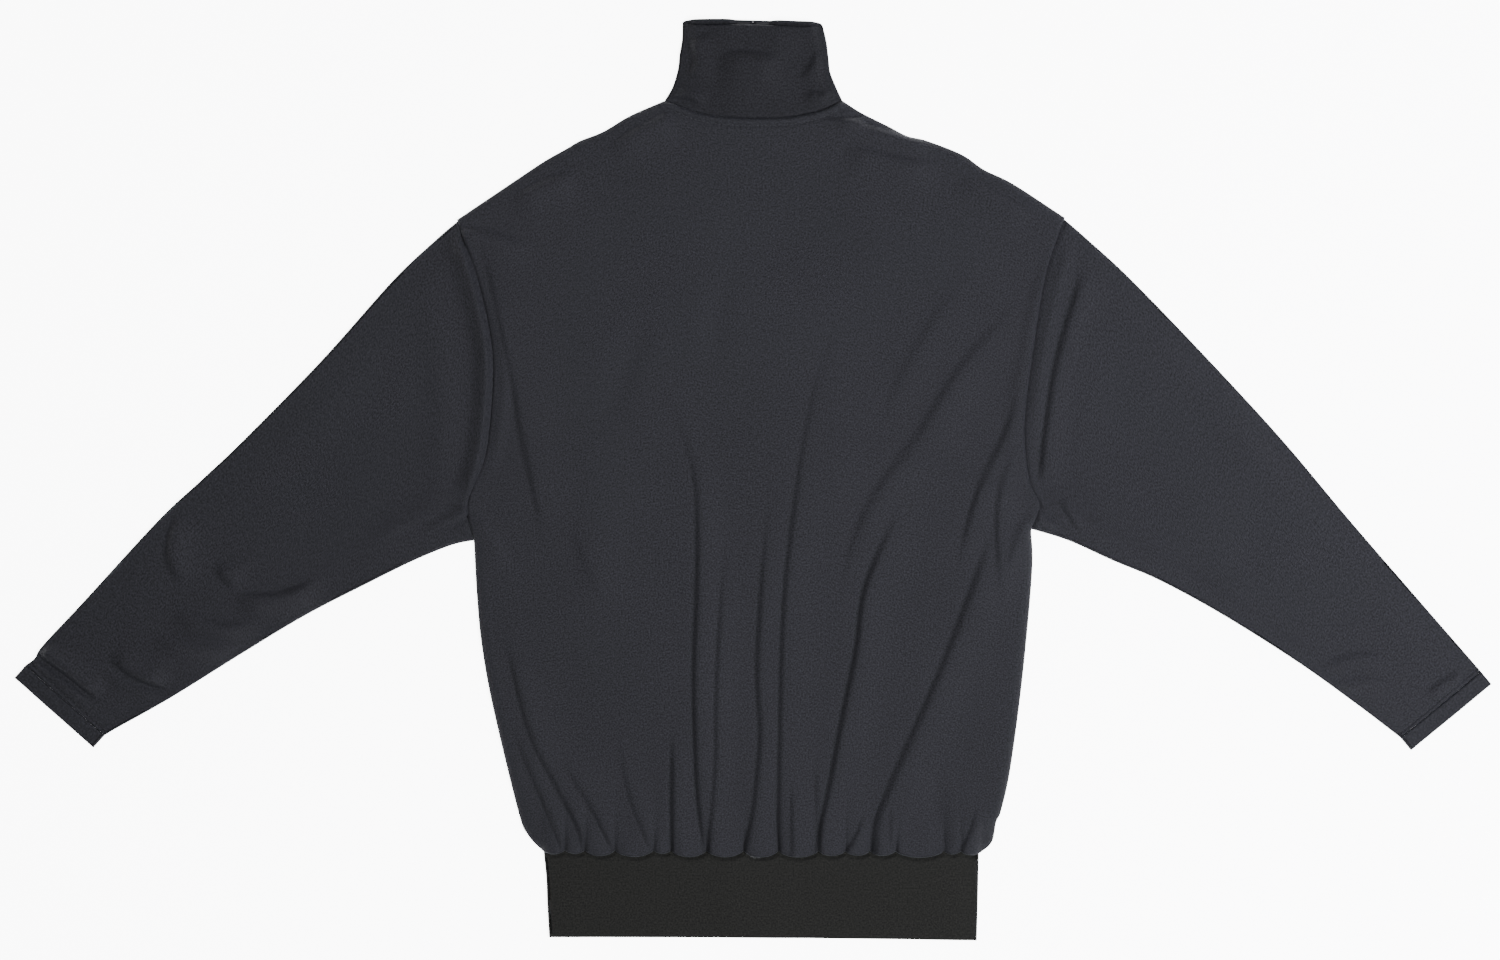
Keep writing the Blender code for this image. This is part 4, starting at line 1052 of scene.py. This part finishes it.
@dataclass
class Tube:
    """A flattened tube of cloth between an outer and an under edge.

    Attributes:
        name: the piece's name.
        start: line across the tube's first end.
        end: line across its last end.
        outer: the folded outer edge.
        under: the folded under edge.
        wall: thickness of the cloth, mm.
        nose: height of the folded edges, mm.
        top: upper face along the middle, mm.
        folds: creases of the upper face.
        rows: divisions along.
        across: divisions of the upper layer.
        below: divisions of the lower layer.
        seed: choice of the fine undulation.
        close: how much closer the rows stand at both ends.
    """

    name: str
    start: Path
    end: Path
    outer: Path
    under: Path
    wall: float
    nose: float
    top: float
    folds: tuple[Fold, ...] = ()
    rows: int = 190
    across: int = 150
    below: int = 36
    seed: float = 1.0
    close: float = 4.0

    def upper(self, xy: Array, inside: Array) -> Array:
        """Height of the upper face at plan points, given how far in from an edge they lie."""
        puff = self.nose + (self.top - self.nose) * ease(0.0, 34.0, inside)
        extra = relief(self.folds, xy)
        extra += 0.5 * undulation(xy, 62.0, self.seed) + 0.15 * undulation(xy, 22.0, self.seed)
        return puff + extra * ease(0.0, 9.0, inside)

    def finish_ends(self, z: Array, s: Array) -> Array:
        """Round the tube's ends down; a plain tube keeps them."""
        return z

    def faces(self) -> tuple[Array, Array, Array]:
        """Lay out the tube.

        Returns:
            Outer face, inner face and place on the cloth, as cloth_piece takes them.
        """
        patch = Coons(self.outer, self.under, self.start, self.end)
        ring = ring_columns(self.across, self.below)
        s = crowded(self.rows, lambda v: 1.0 + self.close * (
            np.exp(-v / 0.02) + np.exp((v - 1.0) / 0.02)))
        width = np.linalg.norm(self.under.at(s) - self.outer.at(s), axis=-1)
        length = 0.5 * (self.outer.length + self.under.length)
        layers = []
        for wall in (0.0, self.wall):
            columns = []
            for kind, value in ring:
                if kind in ("first", "last"):
                    inset, level = nose(self.nose, wall, value)
                    t = inset / width
                    xy = patch.at(s, t if kind == "first" else 1.0 - t)
                    z = np.full_like(s, max(level, REST_GAP))
                else:
                    t = np.full_like(s, value)
                    xy = patch.at(s, t)
                    inside = np.minimum(t, 1.0 - t) * width
                    if kind == "upper":
                        z = self.finish_ends(self.upper(xy, inside), s)
                        z = np.maximum(z, 2.0 * self.wall + 0.25) - wall
                    else:
                        lifted = np.abs(undulation(xy, 60.0, self.seed + 4.0)) * 0.5
                        z = REST_GAP + lifted * ease(4.0, 30.0, inside) + wall
                columns.append(np.concatenate([xy, z[:, None]], -1))
            layers.append(np.stack(columns))
        round_it = girth(layers[0])
        share = round_it[:, None] / round_it[-1] * (2.0 * width)[None, :]
        cloth = np.stack(np.broadcast_arrays(share, (s * length)[None, :]), -1)
        return layers[0], layers[1], cloth


@dataclass
class SleeveTube(Tube):
    """A sleeve: dips at its armhole seam and at its cuff seam.

    Attributes:
        tuck: width over which it rounds down under the body, mm.
        tuck_drop: how far it rounds down there, mm.
        stitch: distance from the cuff seam to its topstitching, mm.
    """

    tuck: float = 4.6
    tuck_drop: float = 4.0
    stitch: float = 4.7

    def finish_ends(self, z: Array, s: Array) -> Array:
        """Round the cloth down into both seams."""
        length = self.outer.length
        z = z - self.tuck_drop * (1.0 - rounded(s * length, self.tuck))
        z = z + 0.5 * np.exp(-((s * length - 9.0) / 5.0) ** 2)
        to_cuff = (1.0 - s) * length
        z = z - 1.6 * (1.0 - rounded(to_cuff, 2.0))
        return z - 1.4 * np.exp(-((to_cuff - self.stitch) / 0.9) ** 2)


@dataclass
class CuffTube(Tube):
    """A cuff: dips at its seam and rounds over at its folded edge."""

    def finish_ends(self, z: Array, s: Array) -> Array:
        """Round the cloth down at the seam and at the open end."""
        length = self.outer.length
        z = z - 1.4 * (1.0 - rounded(s * length, 1.8))
        return z - 0.9 * (1.0 - rounded((1.0 - s) * length, 1.6))


@dataclass
class Sleeve:
    """One sleeve with its cuff and topstitching.

    Attributes:
        side: "left" or "right".
        armhole: the seam on the body.
        outer: the folded outer edge, from shoulder to cuff seam.
        under: the folded under edge, from armpit to cuff seam.
        cuff_edge: the cuff's free edge.
        gap: plan distance from the body, mm, positive towards +X.
        tuck: width over which the sleeve rounds down under the body, mm.
        folds: the sleeve's creases.
        seed: choice of the fine undulation.
    """

    side: str
    armhole: Path
    outer: Path
    under: Path
    cuff_edge: Path
    gap: float
    tuck: float
    folds: tuple[Fold, ...]
    seed: float

    def build(self, finishes: Finishes) -> None:
        """Make the sleeve, the cuff and its row of stitches."""
        start = self.armhole.shifted(self.gap, 0.0)
        end = Path.through(tuple(self.outer.points[-1]), tuple(self.under.points[-1]))
        sleeve = SleeveTube(f"sleeve_cloth_{self.side}", start, end, self.outer, self.under,
                            JERSEY_WALL, FOLD_TOP, 6.0, self.folds, seed=self.seed, tuck=self.tuck)
        outer, inner, cloth = sleeve.faces()
        piece = cloth_piece(sleeve.name, outer, inner, cloth, finishes.jersey, Slot.JERSEY)
        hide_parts(f"sleeve_{self.side}")
        away = self.cuff_edge.at(np.array([0.5]))[0] - end.at(np.array([0.5]))[0]
        away = away / np.linalg.norm(away)
        row = end.shifted(*(-away * sleeve.stitch))
        row = Path(row.at(np.linspace(0.02, 0.98, 40)))
        stitch_row(f"cuff_topstitch_{self.side}", row, surface_height(outer[:, -24:]),
                   finishes.thread, Slot.JERSEY)
        seam = end.shifted(*(away * 0.3))
        sides = [Path.through(tuple(seam.points[k]), tuple(self.cuff_edge.points[k]))
                 for k in (0, -1)]
        cuff = CuffTube(f"cuff_cloth_{self.side}", seam, self.cuff_edge, *sides, BAND_WALL,
                        FOLD_TOP, 5.2, rows=20, across=56, below=28, seed=self.seed + 2.0,
                        close=0.0)
        outer, inner, cloth = cuff.faces()
        piece = cloth_piece(cuff.name, outer, inner, cloth, finishes.jersey, Slot.BAND)
        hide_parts(f"cuff_{self.side}")


@dataclass
class OpenBand:
    """A flattened band, open at the centre front.

    Attributes:
        name: the piece's name.
        upper: the layer that shows, u from left to right and v upwards.
        front_left: the layer below, from the left side to the zip.
        front_right: the layer below, from the zip to the right side.
        wall: thickness of the doubled cloth, mm.
        nose: height of the folded sides, mm.
        across: divisions of the upper layer.
        below: divisions of each front layer.
        rows: divisions upwards.
    """

    name: str
    upper: Coons
    front_left: Coons
    front_right: Coons
    wall: float = BAND_WALL
    nose: float = FOLD_TOP
    across: int = 120
    below: int = 34
    rows: int = 60

    def faces(self, over: Callable[[Array], Array],
              under: Callable[[Array], Array]) -> tuple[Array, Array, Array]:
        """Outer face, inner face and place on the cloth.

        Args:
            over: upper face of the layer that shows, at plan points.
            under: lower face of the layer below, at plan points.
        Returns:
            Outer face, inner face and place on the cloth, as cloth_piece takes them.
        """
        ring = [("front_left", 1.0 - k / self.below) for k in range(self.below)]
        ring += [("nose_left", a) for a in NOSE_ANGLES]
        ring += [("upper", k / self.across) for k in range(1, self.across)]
        ring += [("nose_right", a) for a in NOSE_ANGLES[::-1]]
        ring += [("front_right", 1.0 - (k + 1) / self.below) for k in range(self.below)]
        even = np.linspace(0.0, 1.0, self.rows + 1)
        v = 0.4 * even + 0.6 * (0.5 - 0.5 * np.cos(np.pi * even))
        layers = []
        for wall in (0.0, self.wall):
            columns = []
            for kind, value in ring:
                if kind.startswith("nose"):
                    inset, level = nose(self.nose, wall, value)
                    below = self.front_left if kind == "nose_left" else self.front_right
                    patch = self.upper if value >= 0 else below
                    width = np.linalg.norm(patch.right.at(v) - patch.left.at(v), axis=-1)
                    t = inset / width
                    xy = patch.at(t if kind == "nose_left" else 1.0 - t, v)
                    z = np.full_like(v, level)
                else:
                    xy = getattr(self, kind).at(np.full_like(v, value), v)
                    z = over(xy) - wall if kind == "upper" else under(xy) + wall
                columns.append(np.concatenate([xy, z[:, None]], -1))
            layers.append(np.stack(columns))
        length = self.upper.left.length
        cloth = np.broadcast_arrays(girth(layers[0])[:, None], (v * length)[None, :])
        return layers[0], layers[1], np.stack(cloth, -1)


def zip_share(x: Array) -> Array:
    """1 over the zip, falling to 0 at both sides of it."""
    return 1.0 - ease(18.0, 50.0, np.abs(x))


def zip_lift(xy: Array) -> Array:
    """How far the slider lifts the collar's front layer."""
    return SLIDER_LIFT * zip_share(xy[..., 0]) * ease(350.0, 388.0, xy[..., 1])


@dataclass
class Collar:
    """The stand collar: its front layer shows above the back one.

    Attributes:
        closed: share of the zip's half width that stays open above the slider.
        side_left: the fold on the left, from the neck up.
        side_right: the fold on the right, from the neck up.
        back_top: top edge of the back layer, from left to right.
        front_top_left: top edge of the front layer, from the left fold to the centre.
        front_top_right: the same from the centre to the right fold.
    """

    closed: float = 0.004
    side_left: Path = Path.through(NECK_LEFT, (-76.5, 373.0), (-71.5, 389.5), (-69.8, 404.0),
                                   (-67.5, 418.0), (-67.0, 432.5))
    side_right: Path = Path.through(NECK_RIGHT, (79.0, 373.0), (73.5, 387.0), (72.0, 399.0),
                                    (70.0, 415.5), (66.5, 430.5))
    back_top: Path = Path.through((-67.0, 432.5), (-45.0, 431.8), (-20.0, 431.6),
                                  (6.0, 431.4), (28.0, 430.2), (46.0, 430.0), (66.5, 430.5))
    front_top_left: Path = Path.through((-67.0, 432.5), (-64.0, 436.0), (-38.5, 437.0),
                                        (-ZIP_HALF * closed, 436.2))
    front_top_right: Path = Path.through((ZIP_HALF * closed, 436.2), (36.0, 435.2),
                                         (62.0, 434.0), (66.5, 430.5))

    def over(self, xy: Array) -> Array:
        """Upper face of the back layer: highest over the slider and towards its top."""
        middle = zip_share(xy[..., 0])
        z = 5.1 + zip_lift(xy) + 1.2 * middle
        z += 1.35 * middle * ease(390.0, 412.0, xy[..., 1])
        z += 2.6 * (1.0 - middle) * ease(398.0, 424.0, xy[..., 1])
        side = gap_to((self.side_left, self.side_right), xy)
        extra = relief(COLLAR_FOLDS, xy) + 0.35 * undulation(xy, 34.0, 21.0)
        z = FOLD_TOP + (z + extra - FOLD_TOP) * ease(1.5, 14.0, side)
        z -= 2.2 * (1.0 - rounded(gap_to((BACK_NECK,), xy), 2.2))
        return z - 1.6 * (1.0 - rounded(gap_to((self.back_top,), xy), 1.6))

    def under(self, xy: Array) -> Array:
        """Lower face of the front layer, whose top edge rises towards the back one."""
        beside = 1.0 - zip_share(xy[..., 0])
        rise = 1.4 * beside * ease(404.0, 428.0, xy[..., 1])
        beyond = self.back_top.nearest(xy)[0]
        past_tape = ease(15.5, 24.0, np.abs(xy[..., 0]))
        rise += 6.0 * past_tape * np.clip((beyond + 0.4) / 3.2, 0.0, 1.0)
        away = gap_to((self.side_left, self.side_right), xy)
        return zip_lift(xy) + BAND_GAP + rise * ease(2.0, 14.0, away)

    def build(self, finishes: Finishes) -> None:
        """Make the collar."""
        base_left = Path.through(NECK_LEFT, (-66.0, 340.4), (-38.0, 326.4),
                                 (-ZIP_HALF, COLLAR_FRONT_Y))
        base_right = Path.through((ZIP_HALF, COLLAR_FRONT_Y), (38.0, 326.4), (67.0, 340.4),
                                  NECK_RIGHT)
        above_slider = (430.6, 433.4, 436.2)
        centres = [Path.through(
            (x, COLLAR_FRONT_Y), (x, 380.0), (x, 418.0), (x, 424.0), (x, 427.4),
            (x * 0.5, 429.2), *((x * self.closed, y) for y in above_slider))
            for x in (-ZIP_HALF, ZIP_HALF)]
        upper = Coons(BACK_NECK.shifted(0.0, 0.3), self.back_top, self.side_left,
                      self.side_right)
        front_left = Coons(base_left, self.front_top_left, self.side_left, centres[0])
        front_right = Coons(base_right, self.front_top_right, centres[1], self.side_right)
        band = OpenBand("collar_cloth", upper, front_left, front_right)
        outer, inner, cloth = band.faces(self.over, self.under)
        # The collar's cloth is the darker copy of the jersey: painted shade.
        piece = cloth_piece(band.name, outer, inner, cloth, finishes.stand, Slot.JERSEY)
        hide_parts("collar")


@dataclass
class Waistband:
    """The wide band that holds the gathers.

    Attributes:
        seam_y: its upper edge, hidden under the lobes.
        hem_y: its lower edge beside the zip.
        thin: least height of its upper face, mm.
    """

    seam_y: float = WAIST_Y + 3.5
    hem_y: float = -434.5
    thin: float = 2.1

    def over(self, xy: Array) -> Array:
        """Upper face of the layer that shows."""
        z = 5.0 + 0.9 * zip_share(xy[..., 0]) + 0.22 * undulation(xy, 80.0, 31.0)
        side = np.minimum(xy[..., 0] - HEM_LEFT[0], HEM_RIGHT[0] - xy[..., 0])
        z = FOLD_TOP + (z - FOLD_TOP) * ease(2.0, 24.0, side)
        hem_y = HEM_LEFT[1] + (HEM_RIGHT[1] - HEM_LEFT[1]) * (
            (xy[..., 0] - HEM_LEFT[0]) / (HEM_RIGHT[0] - HEM_LEFT[0]))
        z -= 1.3 * (1.0 - rounded(xy[..., 1] - hem_y, 2.4))
        below_seam = waist_line(xy[..., 0]) - xy[..., 1]
        z -= 3.2 * (1.0 - ease(0.9, 3.6, below_seam))
        pucker = undulation(xy * np.array([1.0, 0.12]), 7.0, 41.0)
        z += 0.16 * pucker * np.exp(-(np.maximum(below_seam, 0.0) / 9.0))
        return np.maximum(z, self.thin)

    def build(self, finishes: Finishes) -> None:
        """Make the waistband."""
        left = Path.through(HEM_LEFT, (-195.3, -404.0), (-196.3, -378.0), (-199.0, self.seam_y))
        right = Path.through(HEM_RIGHT, (213.5, -400.0), (214.0, -375.0), (214.5, self.seam_y))
        seam_left, seam_right = tuple(left.points[-1]), tuple(right.points[-1])
        upper = Coons(Path.through(HEM_LEFT, (-90.0, -433.6), (0.0, -434.3), (106.0, -435.2),
                                   HEM_RIGHT), Path.through(seam_left, seam_right), left, right)
        lows = [(x, self.hem_y) for x in (-ZIP_HALF, ZIP_HALF)]
        highs = [(x, self.seam_y) for x in (-ZIP_HALF, ZIP_HALF)]
        lefts = (Path.through(HEM_LEFT, lows[0]), Path.through(seam_left, highs[0]), left,
                 Path.through(lows[0], highs[0]))
        rights = (Path.through(lows[1], HEM_RIGHT), Path.through(highs[1], seam_right),
                  Path.through(lows[1], highs[1]), right)
        band = OpenBand("waistband_cloth", upper, Coons(*lefts), Coons(*rights),
                        across=210, below=60, rows=56)

        def under(xy: Array) -> Array:
            """Lower face of the front layer, tucked up under the fronts at its seam."""
            return BAND_GAP + 1.6 * ease(WAIST_Y - 3.0, WAIST_Y + 1.0, xy[..., 1])

        outer, inner, cloth = band.faces(self.over, under)
        piece = cloth_piece(band.name, outer, inner, cloth, finishes.band, Slot.BAND)
        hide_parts("waistband")


@dataclass
class ZipTeeth:
    """The closed rows of moulded teeth.

    Attributes:
        pitch: from one tooth to the next on a side, mm.
        half: from the centre line to a tooth's outer end, mm.
        height: of a tooth, mm.
        overlap: how far a tooth reaches past the centre line, mm.
        bevel: width of the rounding of its edges, mm.
        chain_z: height of the chain's middle between the fronts, mm.
    """

    pitch: float = 2.5
    half: float = 2.8
    height: float = 2.2
    overlap: float = 0.9
    bevel: float = 0.18
    chain_z: float = 1.85

    def middle(self, y: float) -> float:
        """Height of the chain's middle at y."""
        band = 1.0 - float(ease(WAIST_Y + 2.0, WAIST_Y + 12.0, np.array(y)))
        band += float(ease(310.0, 320.0, np.array(y)))
        lift = float(zip_lift(np.array([0.0, y])))
        return self.chain_z + 0.6 * band + lift

    def build(self, finishes: Finishes) -> None:
        """Make the teeth as one joined piece."""
        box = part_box("zip_chain")
        start, end = box[0][1] / MM, box[1][1] / MM
        count = int((end - start) / self.pitch) - 1
        bm = bmesh.new()
        for k in range(count):
            for side in (-1, 1):
                y = start + (k + 0.75 + 0.25 * side) * self.pitch
                size = Matrix.Diagonal((self.half + self.overlap, self.pitch * 0.42,
                                        self.height, 1.0))
                place = Vector((side * (self.half - self.overlap) * 0.5, y, self.middle(y)))
                matrix = Matrix.Scale(MM, 4) @ Matrix.Translation(place) @ size
                bmesh.ops.create_cube(bm, size=1.0, matrix=matrix)
        bmesh.ops.bevel(bm, geom=bm.edges[:], offset=self.bevel * MM, segments=1,
                        profile=0.5, affect="EDGES", material=-1)
        piece = finish_piece(bm, "zip_teeth", finishes.teeth, Slot.TEETH)
        piece.data.set_sharp_from_angle(angle=radians(35.0))
        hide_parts("zip_chain")


@dataclass(frozen=True)
class Studio:
    """Floor, lights and camera.

    Attributes:
        distance: from the floor up to the camera, m.
        frame_width: width of floor that fills the picture, m.
        centre: the point under the camera, m.
        sensor: width of the camera's sensor, mm.
        room: strength of the light from all round.
        floor_size: half width of the floor, m.
        floor_glow: strength of the floor's own light, which keeps it near white.
    """

    distance: float = 3.2
    frame_width: float = 1.425
    centre: tuple[float, float] = (-0.00285, 0.0)
    sensor: float = 36.0
    room: float = 0.22
    floor_size: float = 12.0
    floor_glow: float = 8.0

    def floor(self) -> None:
        """A plain pale floor under the jacket."""
        bm = bmesh.new()
        bmesh.ops.create_grid(bm, x_segments=2, y_segments=2, size=self.floor_size)
        bmesh.ops.translate(bm, verts=bm.verts, vec=(0.0, 0.0, -0.0003))
        mesh = mesh_from(bm, "floor")
        dyer = Dyer("white_floor")
        where = dyer.node("ShaderNodeTexCoord", {}, {}, "Object")
        cloud = dyer.mottle(where, 3.0)
        dyer.set(Base_Color=dyer.tint((0.93, 0.93, 0.93), (0.95, 0.95, 0.95), cloud),
                 Roughness=0.9, Emission_Color=(1.0, 1.0, 1.0, 1.0),
                 Emission_Strength=self.floor_glow)
        mesh.materials.append(dyer.material)
        floor = put_in_scene("floor", mesh)

    def lamp(self, name: str, place: tuple[float, float, float], size: float, power: float,
             colour: tuple[float, float, float]) -> None:
        """Add a soft square lamp that is aimed at the jacket's middle.

        Args:
            name: its name.
            place: where it hangs, m.
            size: its width, m.
            power: W.
            colour: red, green and blue.
        """
        data = bpy.data.lights.new(name, "AREA")
        data.size = size
        data.energy = power
        data.color = colour
        lamp = put_in_scene(name, data)
        lamp.location = place
        lamp.rotation_euler = (-Vector(place)).to_track_quat("-Z", "Y").to_euler()

    def build(self) -> None:
        """Set up floor, lamps, surroundings and camera."""
        self.floor()
        self.lamp("key", (1.35, -0.65, 2.5), 0.8, 195.0, (0.92, 0.945, 0.985))
        self.lamp("fill", (-0.7, 0.2, 3.8), 1.2, 38.0, (1.0, 0.99, 0.97))
        self.lamp("overhead", (0.2, 0.5, 4.6), 1.2, 50.0, (1.0, 1.0, 1.0))
        self.lamp("side", (1.8, 0.4, 1.3), 0.7, 15.0, (0.74, 0.68, 1.0))
        world = bpy.data.worlds.new("pale_room")
        world.use_nodes = True
        world.node_tree.nodes["Background"].inputs["Color"].default_value = (1, 1, 1, 1)
        world.node_tree.nodes["Background"].inputs["Strength"].default_value = self.room
        bpy.context.scene.world = world
        data = bpy.data.cameras.new("camera")
        data.sensor_width = self.sensor
        data.lens = self.sensor * self.distance / self.frame_width
        camera = put_in_scene("camera", data)
        camera.location = (*self.centre, self.distance)
        bpy.context.scene.camera = camera


def dress_hardware(finishes: Finishes) -> None:
    """Give the zip's CAD pieces their finishes."""
    dress = {"zip_tape_left": finishes.tape, "zip_tape_right": finishes.tape,
             "zip_box": finishes.metal, "zip_slider": finishes.metal,
             "zip_pull": finishes.metal}
    for node, material in dress.items():
        piece = bpy.data.objects[node]
        for slot in piece.material_slots:
            slot.material = material


def main() -> None:
    """Build the jacket piece by piece."""
    logging.basicConfig(level=logging.INFO, format="%(message)s")
    finishes = Finishes()
    Studio().build()
    BackPanel().build(finishes)
    Front(-1).build(finishes)
    Front(1).build(finishes)
    Sleeve("left", ARMHOLE_LEFT, OUTER_LEFT, UNDER_LEFT,
           Path.through((-701.0, -187.5), (-626.0, -254.0)), 1.9, 4.6, LEFT_SLEEVE_FOLDS,
           51.0).build(finishes)
    Sleeve("right", ARMHOLE_RIGHT, OUTER_RIGHT, UNDER_RIGHT,
           Path.through((701.0, -193.5), (624.5, -256.5)), -1.9, 8.0, RIGHT_SLEEVE_FOLDS,
           67.0).build(finishes)
    Collar().build(finishes)
    Waistband().build(finishes)
    ZipTeeth().build(finishes)
    dress_hardware(finishes)


if __name__ == "__main__":
    main()
